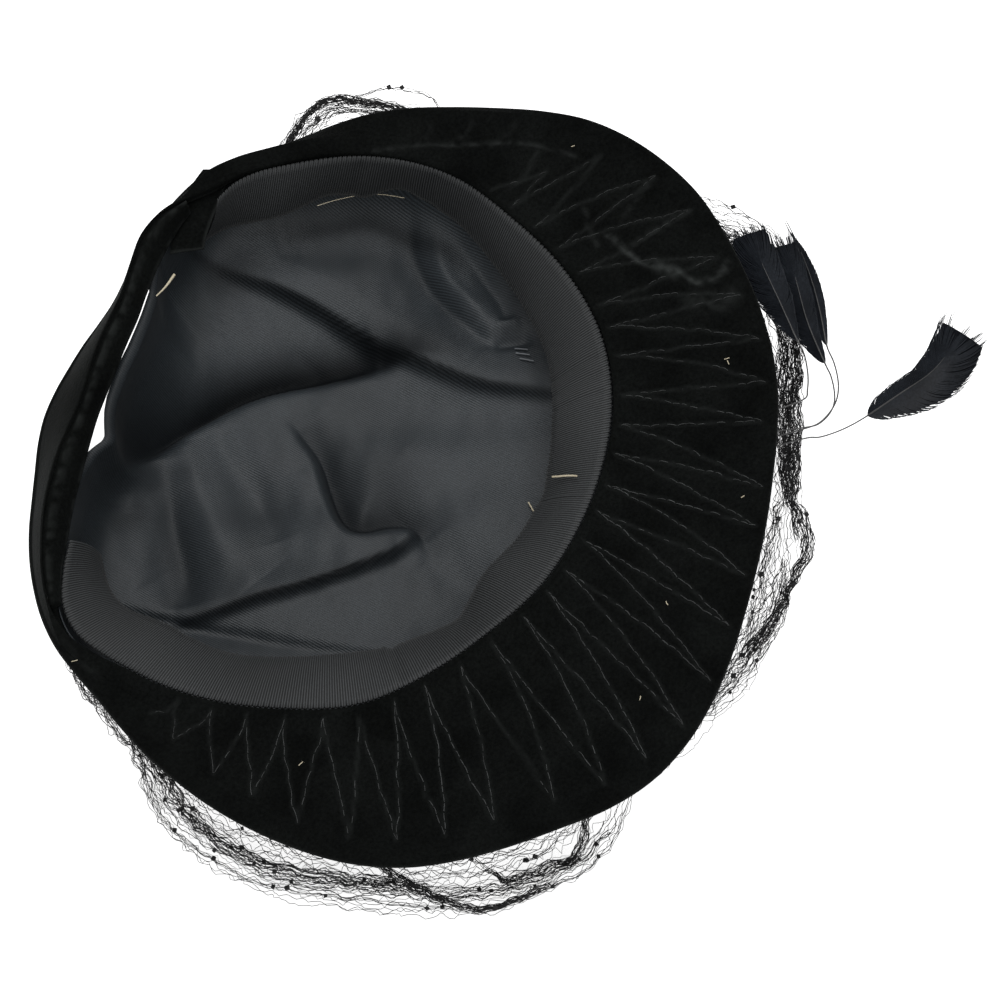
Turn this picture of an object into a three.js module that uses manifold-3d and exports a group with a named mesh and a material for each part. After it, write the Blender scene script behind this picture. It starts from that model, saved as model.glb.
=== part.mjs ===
// Velvet hat with a stitched brim, ribbed head ribbon, twill lining, net veil and small feathers.
// It lies upside down on the tip of its crown: +Z is up, out of the head opening, -Y is the hat's
// front, and the origin is the middle of the crown tip. Millimetres and degrees.
import * as THREE from 'three';
import Module from 'manifold-3d';

// Head opening and crown.
const headRadius = 91;
const seamHeight = 62;
const crownWall = 2.5;
const tipRadius = 54;

// Brim and the strap across the back.
const brimWidth = 71;
const brimThickness = 3.5;
const brimRise = 15;
const brimRounding = 1.3;
const brimCurve = 1.25;
const strapWidth = 8;
const strapThickness = 3;
const strapRise = 6;
const strapStartAngle = 66;
const strapEndAngle = 162;
const notchDepth = 7.5;
const notchDropShare = 0.5;
const strapPad = 1.4;

// Head ribbon.
const ribbonWidth = 21;
const ribbonThickness = 1;
const ribbonStartAngle = 150;
const ribbonEndAngle = 432;
const ribbonCurl = 1.6;

// Lining.
const liningThickness = 1;
const liningHang = 21.5;
const liningFold = 9;
const liningTurn = 0.7;
const liningSideRows = 4;

// Veil.
const veilThickness = 1;
const veilDrop = 18;
const veilWidth = 70;
const veilHem = 2;
const veilRuffle = 2.2;
const veilRuffleAngle = 15;
const veilSagReach = 0.45;
const veilSagHeight = 0.7;

// Feathers.
const knotAngle = -52;
const knotRise = 8;
const knotLength = 12;
const knotSize = 6;
const quillSize = 1;
const vaneThickness = 1;
const vaneCamber = 1.5;
const lockRoot = 0.3;
const broadWidth = 19;
const middleWidth = 10;
const spikeWidth = 10;
const loneWidth = 17;
const featherRun = 60;
const quillSpacing = 2.2;

// Fits.
const seamGap = 0.6;
const sewnGap = 0.3;
const angleStep = 6;
const crownDepth = seamHeight - sewnGap;
const veilSeamHeight = seamHeight - veilDrop;
const knotHeight = veilSeamHeight + knotRise;
const liningMiddleHeight = crownWall + liningHang;

// The hat's outline from above, anticlockwise, with the front at -90 and the back at 90. Opening is
// a share of headRadius, brim of brimWidth, rise of brimRise above the seam, tuck of notchDepth and
// strap of strapWidth. Lean is the ribbon's slope down from level.
const outlineTable = [
  { angle: -180, opening: 1.065, brim: 0.200, rise: 0.40, tuck: 0.00, strap: 0.00, lean: 22 },
  { angle: -165, opening: 1.031, brim: 0.394, rise: 0.73, tuck: 0.00, strap: 0.00, lean: 26 },
  { angle: -150, opening: 1.001, brim: 0.604, rise: 0.87, tuck: 0.00, strap: 0.00, lean: 20 },
  { angle: -135, opening: 0.989, brim: 0.785, rise: 0.93, tuck: 0.00, strap: 0.00, lean: 22 },
  { angle: -120, opening: 0.946, brim: 0.920, rise: 1.00, tuck: 0.00, strap: 0.00, lean: 41 },
  { angle: -105, opening: 0.922, brim: 0.987, rise: 1.00, tuck: 0.00, strap: 0.00, lean: 46 },
  { angle: -90, opening: 0.933, brim: 0.924, rise: 1.00, tuck: 0.00, strap: 0.00, lean: 30 },
  { angle: -75, opening: 0.945, brim: 0.818, rise: 0.93, tuck: 0.00, strap: 0.00, lean: 37 },
  { angle: -60, opening: 0.973, brim: 0.758, rise: 0.87, tuck: 0.00, strap: 0.00, lean: 36 },
  { angle: -45, opening: 1.016, brim: 0.738, rise: 0.80, tuck: 0.00, strap: 0.00, lean: 30 },
  { angle: -30, opening: 1.052, brim: 0.699, rise: 0.80, tuck: 0.00, strap: 0.00, lean: 37 },
  { angle: -15, opening: 1.069, brim: 0.675, rise: 0.73, tuck: 0.00, strap: 0.00, lean: 49 },
  { angle: 0, opening: 1.084, brim: 0.583, rise: 0.60, tuck: 0.00, strap: 0.00, lean: 66 },
  { angle: 15, opening: 1.124, brim: 0.361, rise: 0.40, tuck: 0.00, strap: 0.00, lean: 82 },
  { angle: 30, opening: 1.123, brim: 0.239, rise: 0.20, tuck: 0.00, strap: 0.00, lean: 86 },
  { angle: 45, opening: 1.093, brim: 0.135, rise: 0.00, tuck: 0.00, strap: 0.00, lean: 72 },
  { angle: 60, opening: 1.060, brim: 0.140, rise: -0.13, tuck: 0.00, strap: 0.00, lean: 80 },
  { angle: 75, opening: 0.927, brim: 0.172, rise: -0.27, tuck: 0.00, strap: 0.95, lean: 84 },
  { angle: 90, opening: 0.815, brim: 0.187, rise: -0.33, tuck: 0.10, strap: 0.78, lean: 80 },
  { angle: 105, opening: 0.773, brim: 0.242, rise: -0.33, tuck: 0.65, strap: 0.82, lean: 80 },
  { angle: 120, opening: 0.784, brim: 0.276, rise: -0.33, tuck: 1.00, strap: 0.70, lean: 80 },
  { angle: 135, opening: 0.832, brim: 0.245, rise: -0.27, tuck: 0.05, strap: 0.98, lean: 80 },
  { angle: 150, opening: 0.937, brim: 0.203, rise: -0.13, tuck: 0.00, strap: 0.95, lean: 70 },
  { angle: 165, opening: 1.088, brim: 0.106, rise: 0.13, tuck: 0.00, strap: 0.30, lean: 36 },
];

// The crown's side, from its rim down to its tip: reach from the tip's edge (0) to the rim (1), and
// height as a share of crownDepth.
const crownProfile = [
  { reach: 1.00, height: 1.00 },
  { reach: 1.00, height: 0.80 },
  { reach: 0.995, height: 0.62 },
  { reach: 0.955, height: 0.42 },
  { reach: 0.85, height: 0.24 },
  { reach: 0.64, height: 0.10 },
  { reach: 0.33, height: 0.022 },
  { reach: 0.00, height: 0.00 },
];

// The lining's hang: reach is a share of the opening, depth of the way from the seam down to its
// middle, and loose says how much of the folds it takes. Its first rows are the side's, and the
// tip starts where they end.
const liningProfile = [
  { reach: 1.00, depth: 0.00, loose: 0.00 },
  { reach: 1.00, depth: 0.34, loose: 0.00 },
  { reach: 0.985, depth: 0.60, loose: 0.00 },
  { reach: 0.93, depth: 0.80, loose: 0.25 },
  { reach: 0.84, depth: 0.91, loose: 0.75 },
  { reach: 0.73, depth: 0.95, loose: 1.00 },
  { reach: 0.62, depth: 0.98, loose: 1.00 },
  { reach: 0.51, depth: 1.00, loose: 1.00 },
  { reach: 0.40, depth: 1.00, loose: 1.00 },
  { reach: 0.28, depth: 1.00, loose: 1.00 },
  { reach: 0.16, depth: 1.00, loose: 1.00 },
  { reach: 0.06, depth: 1.00, loose: 1.00 },
];

// Folds of the lining. Each runs from start to end in shares of headRadius, is width wide to each
// side, and lifts (+) or sinks (-) the cloth by height, a share of liningFold.
const foldTable = [
  { name: 'top crease', startX: 0.43, startY: 0.78, endX: 0.66, endY: -0.20, width: 0.11, height: -0.95 },
  { name: 'top bulge', startX: 0.66, startY: 0.62, endX: 0.78, endY: 0.02, width: 0.17, height: 0.95 },
  { name: 'middle ridge', startX: 0.22, startY: 0.62, endX: 0.44, endY: 0.02, width: 0.13, height: 0.85 },
  { name: 'left valley', startX: -0.28, startY: 0.62, endX: 0.30, endY: 0.30, width: 0.12, height: -0.70 },
  { name: 'lobe', startX: -0.02, startY: 0.14, endX: 0.02, endY: -0.30, width: 0.12, height: 0.90 },
  { name: 'lobe hollow', startX: 0.24, startY: -0.04, endX: 0.26, endY: -0.42, width: 0.15, height: -0.45 },
  { name: 'dark line', startX: -0.72, startY: 0.10, endX: -0.06, endY: -0.36, width: 0.07, height: -0.85 },
  { name: 'lower ridge', startX: -0.66, startY: 0.34, endX: -0.12, endY: -0.12, width: 0.13, height: 0.55 },
  { name: 'lower panel', startX: -0.62, startY: -0.12, endX: -0.24, endY: -0.52, width: 0.12, height: 0.40 },
  { name: 'left hollow', startX: -0.56, startY: 0.58, endX: -0.50, endY: 0.40, width: 0.12, height: -0.50 },
];

// The veil's free edge: reach past the crown's rim is a share of veilWidth, lift of seamHeight.
const veilTable = [
  { angle: -196, reach: -0.05, lift: 0.16 },
  { angle: -188, reach: -0.01, lift: 0.08 },
  { angle: -180, reach: 0.05, lift: 0.05 },
  { angle: -172, reach: 0.24, lift: 0.05 },
  { angle: -163, reach: 0.40, lift: 0.05 },
  { angle: -150, reach: 0.53, lift: 0.05 },
  { angle: -137, reach: 0.62, lift: 0.05 },
  { angle: -126, reach: 0.76, lift: 0.05 },
  { angle: -117, reach: 0.84, lift: 0.06 },
  { angle: -108, reach: 0.87, lift: 0.10 },
  { angle: -99, reach: 0.78, lift: 0.30 },
  { angle: -90, reach: 0.83, lift: 0.42 },
  { angle: -80, reach: 0.88, lift: 0.42 },
  { angle: -70, reach: 0.92, lift: 0.42 },
  { angle: -60, reach: 0.88, lift: 0.42 },
  { angle: -50, reach: 0.84, lift: 0.42 },
  { angle: -42, reach: 0.84, lift: 0.42 },
  { angle: -33, reach: 0.89, lift: 0.46 },
  { angle: -24, reach: 0.96, lift: 0.56 },
  { angle: -16, reach: 0.76, lift: 0.60 },
  { angle: -8, reach: 0.49, lift: 0.50 },
  { angle: 8, reach: 0.27, lift: 0.44 },
  { angle: 20, reach: 0.38, lift: 0.50 },
  { angle: 26, reach: 0.48, lift: 0.56 },
  { angle: 34, reach: 0.48, lift: 0.56 },
  { angle: 41, reach: 0.39, lift: 0.52 },
  { angle: 50, reach: 0.15, lift: 0.44 },
];
const veilStretches = [
  { name: 'veil_front', from: -196, to: -99 },
  { name: 'veil_side', from: -99, to: -8 },
  { name: 'veil_far', from: -8, to: 50 },
];

// The run of each feather's shaft after it leaves the knot: angle round the hat, reach from the knot
// as a share of featherRun and lift of seamHeight. Left and right are the vane's half widths as
// shares of its width.
const broadFeather = [
  { angle: -49.0, reach: 0.40, lift: 0.88, left: 0, right: 0 },
  { angle: -47.1, reach: 0.85, lift: 0.92, left: 0, right: 0 },
  { angle: -43.9, reach: 0.93, lift: 0.95, left: 0, right: 0 },
  { angle: -39.4, reach: 0.90, lift: 0.97, left: 0.05, right: 0.05 },
  { angle: -35.5, reach: 0.88, lift: 0.97, left: 0.36, right: 0.34 },
  { angle: -30.5, reach: 0.85, lift: 0.97, left: 0.50, right: 0.50 },
  { angle: -26.0, reach: 0.85, lift: 0.98, left: 0.44, right: 0.50 },
  { angle: -23.0, reach: 0.85, lift: 0.99, left: 0.20, right: 0.24 },
];
const middleFeather = [
  { angle: -50.0, reach: 0.40, lift: 0.82, left: 0, right: 0 },
  { angle: -50.0, reach: 0.85, lift: 0.85, left: 0, right: 0 },
  { angle: -46.9, reach: 1.05, lift: 0.87, left: 0, right: 0 },
  { angle: -43.2, reach: 1.07, lift: 0.88, left: 0, right: 0 },
  { angle: -40.2, reach: 1.05, lift: 0.89, left: 0.08, right: 0.08 },
  { angle: -36.0, reach: 1.02, lift: 0.90, left: 0.38, right: 0.38 },
  { angle: -31.0, reach: 1.02, lift: 0.91, left: 0.50, right: 0.50 },
  { angle: -26.8, reach: 1.05, lift: 0.92, left: 0.24, right: 0.24 },
];
const spikeFeather = [
  { angle: -51.0, reach: 0.40, lift: 0.76, left: 0, right: 0 },
  { angle: -51.2, reach: 0.85, lift: 0.77, left: 0, right: 0 },
  { angle: -48.9, reach: 1.08, lift: 0.79, left: 0, right: 0 },
  { angle: -45.6, reach: 1.19, lift: 0.80, left: 0, right: 0 },
  { angle: -42.6, reach: 1.20, lift: 0.81, left: 0.06, right: 0.06 },
  { angle: -39.0, reach: 1.20, lift: 0.82, left: 0.36, right: 0.38 },
  { angle: -34.5, reach: 1.23, lift: 0.83, left: 0.50, right: 0.50 },
  { angle: -29.5, reach: 1.27, lift: 0.84, left: 0.30, right: 0.30 },
  { angle: -26.2, reach: 1.29, lift: 0.85, left: 0.06, right: 0.06 },
];
const loneFeather = [
  { angle: -52.6, reach: 0.40, lift: 0.70, left: 0, right: 0 },
  { angle: -52.4, reach: 0.72, lift: 0.70, left: 0, right: 0 },
  { angle: -51.4, reach: 0.98, lift: 0.71, left: 0, right: 0 },
  { angle: -49.6, reach: 1.12, lift: 0.72, left: 0, right: 0 },
  { angle: -48.4, reach: 1.23, lift: 0.73, left: 0.06, right: 0.06 },
  { angle: -47.2, reach: 1.35, lift: 0.73, left: 0.32, right: 0.34 },
  { angle: -45.4, reach: 1.52, lift: 0.73, left: 0.46, right: 0.52 },
  { angle: -43.2, reach: 1.71, lift: 0.72, left: 0.42, right: 0.54 },
  { angle: -41.6, reach: 1.84, lift: 0.71, left: 0.30, right: 0.46 },
];

// The feathers' ragged ends, each a short lock beside the vane's tip: side is its place across the
// vane as a share of its width, length and width are shares of the same.
const raggedEnd = [
  { side: -0.26, length: 0.34, width: 0.22 },
  { side: 0.02, length: 0.22, width: 0.24 },
  { side: 0.34, length: 0.46, width: 0.24 },
];

const velvetBlack = { color: 0x0b0c0c, roughness: 0.95, metalness: 0 };
const ribbonBlack = { color: 0x303234, roughness: 0.7, metalness: 0 };
const liningBlack = { color: 0x1c1f22, roughness: 0.55, metalness: 0 };
const netBlack = { color: 0x101112, roughness: 0.8, metalness: 0 };
const featherBlack = { color: 0x161a22, roughness: 0.5, metalness: 0 };

const radians = THREE.MathUtils.degToRad;

// A smooth curve through one column of a table. With a period the table goes round and round.
function readTable(rows, key, column, at, period = 0) {
  const count = rows.length;
  const place = (i) => {
    const turn = Math.floor(i / count);
    return period ? rows[i - turn * count][key] + turn * period : rows[i][key];
  };
  const value = (i) => (period ? rows[i - Math.floor(i / count) * count][column] : rows[i][column]);
  let where = at;
  if (period) {
    const first = rows[0][key];
    where = at - Math.floor((at - first) / period) * period;
  }
  const last = period ? count : count - 1;
  const forward = rows[1][key] > rows[0][key];
  let i = 0;
  while (i < last - 1 && (forward ? place(i + 1) <= where : place(i + 1) >= where)) {
    i += 1;
  }
  const low = period ? i - 1 : Math.max(i - 1, 0);
  const high = period ? i + 2 : Math.min(i + 2, count - 1);
  const step = place(i + 1) - place(i);
  const t = THREE.MathUtils.clamp((where - place(i)) / step, 0, 1);
  const slopeIn = (value(i + 1) - value(low)) / (place(i + 1) - place(low));
  const slopeOut = (value(high) - value(i)) / (place(high) - place(i));
  const a = value(i);
  const b = value(i + 1);
  const rise = 3 * t ** 2 - 2 * t ** 3;
  const leave = (t ** 3 - 2 * t ** 2 + t) * step * slopeIn;
  const arrive = (t ** 3 - t ** 2) * step * slopeOut;
  return a + (b - a) * rise + leave + arrive;
}

function outlineAt(angle, column) {
  return readTable(outlineTable, 'angle', column, angle, 360);
}

function openingRadius(angle) {
  return headRadius * outlineAt(angle, 'opening');
}

function brimEdgeRadius(angle) {
  return openingRadius(angle) + brimWidth * outlineAt(angle, 'brim');
}

function brimEdgeHeight(angle) {
  return seamHeight + brimRise * outlineAt(angle, 'rise');
}

// Width of the strap at this angle, nothing where there is none.
function strapBand(angle) {
  return Math.max(0, strapWidth * outlineAt(angle, 'strap'));
}

// How far the crown's rim stands back from the strap, which leaves a slit at the back.
function rimTuck(angle) {
  return notchDepth * Math.max(0, outlineAt(angle, 'tuck'));
}

function polar(angle, radius, height) {
  return new THREE.Vector3(radius * Math.cos(radians(angle)), radius * Math.sin(radians(angle)), height);
}

function anglesBetween(start, end, step) {
  const count = Math.max(2, Math.round((end - start) / step));
  return Array.from({ length: count + 1 }, (_, i) => start + ((end - start) * i) / count);
}

function fullCircle() {
  return anglesBetween(-180, 180, angleStep).slice(0, -1);
}

// Turns corner lists and triangles into a geometry, with every face pointing out.
function closedGeometry(points, faces) {
  let volume = 0;
  for (const [a, b, c] of faces) {
    volume += points[a].dot(new THREE.Vector3().crossVectors(points[b], points[c]));
  }
  const index = faces.flatMap(([a, b, c]) => (volume > 0 ? [a, b, c] : [a, c, b]));
  const geometry = new THREE.BufferGeometry();
  geometry.setAttribute('position', new THREE.Float32BufferAttribute(points.flatMap((p) => p.toArray()), 3));
  geometry.setIndex(index);
  geometry.computeVertexNormals();
  return geometry;
}

// A closed body through sections that have the same number of corners. A ring joins its last
// section to its first, and anything else gets a cap at each end.
function loftGeometry(sections, ring) {
  const corners = sections[0].length;
  const points = sections.flat();
  const faces = [];
  const spans = ring ? sections.length : sections.length - 1;
  for (let i = 0; i < spans; i += 1) {
    const next = (i + 1) % sections.length;
    for (let k = 0; k < corners; k += 1) {
      const side = (k + 1) % corners;
      faces.push([i * corners + k, next * corners + k, next * corners + side]);
      faces.push([i * corners + k, next * corners + side, i * corners + side]);
    }
  }
  if (!ring) {
    [0, sections.length - 1].forEach((i) => {
      const middle = sections[i].reduce((sum, p) => sum.add(p), new THREE.Vector3()).divideScalar(corners);
      points.push(middle);
      for (let k = 0; k < corners; k += 1) {
        const edge = [i * corners + k, i * corners + ((k + 1) % corners), points.length - 1];
        faces.push(i === 0 ? edge : [edge[1], edge[0], edge[2]]);
      }
    });
  }
  return closedGeometry(points, faces);
}

// A cup: each section runs from beside the outer middle, over the rim, to beside the inner middle.
function cupGeometry(sections, outerMiddle, innerMiddle) {
  const corners = sections[0].length;
  const points = [...sections.flat(), outerMiddle, innerMiddle];
  const outer = points.length - 2;
  const inner = points.length - 1;
  const faces = [];
  sections.forEach((section, i) => {
    const next = (i + 1) % sections.length;
    faces.push([outer, next * corners, i * corners]);
    for (let k = 0; k < corners - 1; k += 1) {
      faces.push([i * corners + k, next * corners + k, next * corners + k + 1]);
      faces.push([i * corners + k, next * corners + k + 1, i * corners + k + 1]);
    }
    faces.push([i * corners + corners - 1, next * corners + corners - 1, inner]);
  });
  return closedGeometry(points, faces);
}

function namedMesh(name, geometry, finish) {
  const mesh = new THREE.Mesh(geometry, new THREE.MeshStandardMaterial(finish));
  mesh.name = name;
  return mesh;
}

// The crown's outer face: its rim follows the opening, its tip is round.
function crownRimRadius(angle) {
  return openingRadius(angle) + seamGap + liningThickness + sewnGap + crownWall - rimTuck(angle);
}

function crownRadius(angle, height) {
  const share = THREE.MathUtils.clamp(height / crownDepth, 0, 1);
  const reach = readTable(crownProfile, 'height', 'reach', share);
  return tipRadius + (crownRimRadius(angle) - tipRadius) * reach;
}

function rimDrop(angle) {
  return rimTuck(angle) * notchDropShare;
}

function makeCrown() {
  const outer = [...crownProfile].reverse();
  const sections = fullCircle().map((angle) => {
    const rim = crownRimRadius(angle);
    const depth = crownDepth - rimDrop(angle);
    const at = (row, wall) => {
      const radius = tipRadius + (rim - tipRadius) * row.reach - wall;
      const height = wall + (depth - wall) * row.height;
      return polar(angle, radius, height);
    };
    return [...outer.map((row) => at(row, 0)), ...crownProfile.map((row) => at(row, crownWall))];
  });
  return cupGeometry(sections, new THREE.Vector3(0, 0, 0), new THREE.Vector3(0, 0, crownWall));
}

// Height that the folds add to the lining at one place.
function foldHeight(x, y) {
  return foldTable.reduce((sum, fold) => {
    const start = new THREE.Vector2(fold.startX, fold.startY).multiplyScalar(headRadius);
    const end = new THREE.Vector2(fold.endX, fold.endY).multiplyScalar(headRadius);
    const run = end.clone().sub(start);
    const here = new THREE.Vector2(x, y).sub(start);
    const along = THREE.MathUtils.clamp(here.dot(run) / run.lengthSq(), 0, 1);
    const away = here.sub(run.multiplyScalar(along)).length() / (fold.width * headRadius);
    return sum + liningFold * fold.height * Math.exp(-away * away);
  }, 0);
}

// A point of the lining: one row of its profile, at one angle and on one face.
function liningPoint(angle, row, wall, trim) {
  const rim = openingRadius(angle) + seamGap + liningThickness - rimTuck(angle);
  const top = seamHeight - sewnGap - rimDrop(angle);
  const side = row.depth < liningTurn;
  const radius = rim * row.reach - trim - (side ? wall : 0);
  const flat = polar(angle, radius, 0);
  const fold = row.loose * foldHeight(flat.x, flat.y);
  const height = top - (top - liningMiddleHeight) * row.depth + fold + (side ? 0 : wall);
  return polar(angle, radius, height);
}

// The lining's side hangs from the seam and turns in at its foot.
function makeLiningSide() {
  const rows = liningProfile.slice(0, liningSideRows);
  const sections = fullCircle().map((angle) => [
    ...[...rows].reverse().map((row) => liningPoint(angle, row, 0, 0)),
    ...rows.map((row) => liningPoint(angle, row, liningThickness, 0)),
  ]);
  return loftGeometry(sections, true);
}

// The lining's tip goes on from there as the folded floor of the hollow.
function makeLiningTip() {
  const rows = liningProfile.slice(liningSideRows - 1);
  const trim = (row) => (row === rows[0] ? sewnGap : 0);
  const sections = fullCircle().map((angle) => [
    ...[...rows].reverse().map((row) => liningPoint(angle, row, 0, trim(row))),
    ...rows.map((row) => liningPoint(angle, row, liningThickness, trim(row))),
  ]);
  const middle = liningMiddleHeight + foldHeight(0, 0);
  const lower = new THREE.Vector3(0, 0, middle);
  const upper = new THREE.Vector3(0, 0, middle + liningThickness);
  return cupGeometry(sections, lower, upper);
}

// The brim's inner edge follows the opening, and gives way to the strap across the back.
function brimInnerRadius(angle) {
  const seam = openingRadius(angle) + seamGap;
  const band = strapBand(angle);
  return band > 0 ? seam + band + sewnGap : seam;
}

function brimInnerHeight(angle) {
  return seamHeight + strapRise * (strapBand(angle) / strapWidth);
}

function makeBrim() {
  const across = [0, 0.3, 0.65, 1];
  const sections = fullCircle().map((angle) => {
    const inner = brimInnerRadius(angle);
    const edge = brimEdgeRadius(angle);
    const low = brimInnerHeight(angle);
    const high = brimEdgeHeight(angle) - brimThickness;
    const rim = Math.max(crownRimRadius(angle) + sewnGap, inner + sewnGap);
    const turned = edge - brimRounding;
    const underside = across.map((share) => ({
      radius: rim + (turned - rim) * share,
      height: low + (high - low) * share ** brimCurve,
    }));
    underside.unshift({ radius: inner, height: low });
    const bottom = underside.map((row) => polar(angle, row.radius, row.height));
    const top = underside.map((row) => polar(angle, row.radius, row.height + brimThickness));
    const nose = polar(angle, edge, high + brimThickness / 2);
    return [...bottom, nose, ...top.reverse()];
  });
  return loftGeometry(sections, true);
}

function makeStrap() {
  const sections = anglesBetween(strapStartAngle, strapEndAngle, angleStep).map((angle) => {
    const inner = openingRadius(angle) + seamGap;
    const outer = brimInnerRadius(angle) - sewnGap;
    const middle = (inner + outer) / 2;
    const low = seamHeight + sewnGap;
    const high = brimInnerHeight(angle);
    const halfway = (low + high) / 2;
    return [
      polar(angle, inner, low),
      polar(angle, middle, halfway),
      polar(angle, outer, high),
      polar(angle, outer, high + strapThickness),
      polar(angle, middle, halfway + strapThickness + strapPad),
      polar(angle, inner, low + strapThickness),
    ];
  });
  return loftGeometry(sections, false);
}

// The ribbon hangs from the seam as a loose flap, a little curled across its width.
function makeRibbon() {
  const across = [0, 0.35, 0.7, 1];
  const sections = anglesBetween(ribbonStartAngle, ribbonEndAngle, angleStep).map((angle) => {
    const lean = radians(outlineAt(angle, 'lean'));
    const seam = openingRadius(angle) - ribbonThickness / 2;
    const top = seamHeight + brimThickness - ribbonThickness;
    const point = (share, side) => {
      const run = ribbonWidth * share;
      const curl = ribbonCurl * 4 * share * (1 - share);
      const lift = (side * ribbonThickness) / 2 + curl * Math.cos(lean);
      const inward = run * Math.cos(lean) + lift * Math.sin(lean);
      const down = run * Math.sin(lean) - lift * Math.cos(lean);
      return polar(angle, seam - inward, top - down);
    };
    return [...across.map((share) => point(share, -1)), ...across.map((share) => point(share, 1)).reverse()];
  });
  return loftGeometry(sections, false);
}

// One stretch of the veil, from its seam on the crown down and out to its free edge.
function makeVeil(stretch, first, last) {
  const shares = [0, 0.2, 0.42, 0.64, 0.84, 1];
  const trim = (sewnGap / headRadius) * (180 / Math.PI);
  const from = first ? stretch.from : stretch.from + trim;
  const to = last ? stretch.to : stretch.to - trim;
  const sections = anglesBetween(from, to, angleStep / 2).map((angle) => {
    const free = {
      radius: crownRimRadius(angle) + veilWidth * readTable(veilTable, 'angle', 'reach', angle),
      height: seamHeight * readTable(veilTable, 'angle', 'lift', angle),
    };
    const seam = { radius: crownRadius(angle, veilSeamHeight) + sewnGap, height: veilSeamHeight };
    const sag = {
      radius: seam.radius + veilSagReach * (free.radius - seam.radius),
      height: free.height * veilSagHeight,
    };
    const ruffle = Math.sin((angle / veilRuffleAngle) * 2 * Math.PI);
    const point = (share, side) => {
      const weights = [(1 - share) ** 2, 2 * share * (1 - share), share ** 2];
      const mix = (key) => weights[0] * seam[key] + weights[1] * sag[key] + weights[2] * free[key];
      const wave = veilRuffle * share * share * ruffle;
      const height = Math.max(mix('height') + wave, veilHem);
      return polar(angle, mix('radius') + side * share, height + side * veilThickness);
    };
    return [...shares.map((share) => point(share, 0)), ...shares.map((share) => point(share, 1)).reverse()];
  });
  return loftGeometry(sections, false);
}

function knotOuterRadius() {
  return crownRadius(knotAngle, knotHeight) + sewnGap + knotSize;
}

// The knot ties the quills to the crown's side, under the brim.
function makeKnot() {
  const half = knotLength / 2;
  const rows = [
    { share: -1, size: 0.55 },
    { share: -0.5, size: 0.95 },
    { share: 0, size: 1 },
    { share: 0.5, size: 0.95 },
    { share: 1, size: 0.55 },
  ];
  const sections = rows.map((row) => {
    const angle = knotAngle + (row.share * half * 180) / (Math.PI * headRadius);
    const size = (knotSize / 2) * row.size;
    const inner = crownRadius(angle, knotHeight) + sewnGap;
    return Array.from({ length: 8 }, (_, k) => {
      const turn = (k * Math.PI) / 4;
      return polar(angle, inner + knotSize / 2 + size * Math.cos(turn), knotHeight + size * Math.sin(turn));
    });
  });
  return loftGeometry(sections, false);
}

// A flat blade along a smooth path, thick in the middle and cambered to each side.
function bladeGeometry(rows, width, path, steps) {
  const curve = new THREE.CatmullRomCurve3(path);
  const shares = rows.map((row, i) => ({ share: i / (rows.length - 1), ...row }));
  const sections = Array.from({ length: steps + 1 }, (_, i) => {
    const share = i / steps;
    const middle = curve.getPoint(share);
    const along = curve.getTangent(share);
    const right = new THREE.Vector3().crossVectors(along, new THREE.Vector3(0, 0, 1)).normalize();
    const up = new THREE.Vector3().crossVectors(right, along).normalize();
    const halfWidth = (side) => Math.max(quillSize / 2, width * readTable(shares, 'share', side, share));
    const left = halfWidth('left');
    const rightSide = halfWidth('right');
    const thick = vaneThickness / 2;
    const droop = (half) => (vaneCamber * half) / width;
    const point = (across, lift) => middle.clone().addScaledVector(right, across).addScaledVector(up, lift);
    return [
      point(-left, -thick / 2 - droop(left)),
      point(0, -thick),
      point(rightSide, -thick / 2 - droop(rightSide)),
      point(rightSide, thick / 2 - droop(rightSide)),
      point(0, thick),
      point(-left, thick / 2 - droop(left)),
    ];
  });
  return loftGeometry(sections, false);
}

const wasm = await Module();
wasm.setup();

function toSolid(geometry) {
  const triVerts = new Uint32Array(geometry.index.array);
  const vertProperties = new Float32Array(geometry.attributes.position.array);
  return new wasm.Manifold(new wasm.Mesh({ numProp: 3, vertProperties, triVerts }));
}

function toGeometry(solid) {
  const mesh = solid.getMesh();
  const geometry = new THREE.BufferGeometry();
  geometry.setAttribute('position', new THREE.BufferAttribute(mesh.vertProperties, 3));
  geometry.setIndex(new THREE.BufferAttribute(mesh.triVerts, 1));
  geometry.computeVertexNormals();
  return geometry;
}

// Ragged locks that carry a vane on past its tip.
function makeLocks(curve, width) {
  const tip = curve.getPoint(1);
  const along = curve.getTangent(1);
  const right = new THREE.Vector3().crossVectors(along, new THREE.Vector3(0, 0, 1)).normalize();
  const lockRows = [{ left: 0.5, right: 0.5 }, { left: 0.42, right: 0.42 }, { left: 0.1, right: 0.1 }];
  return raggedEnd.map((lock) => {
    const beside = tip.clone().addScaledVector(right, lock.side * width);
    const start = beside.addScaledVector(along, -lockRoot * width);
    const end = start.clone().addScaledVector(along, (lockRoot + lock.length) * width);
    const path = [start, start.clone().lerp(end, 0.5), end];
    path.forEach((point) => {
      point.z -= Math.abs(lock.side) * vaneCamber;
    });
    return bladeGeometry(lockRows, lock.width * width, path, 4);
  });
}

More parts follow.
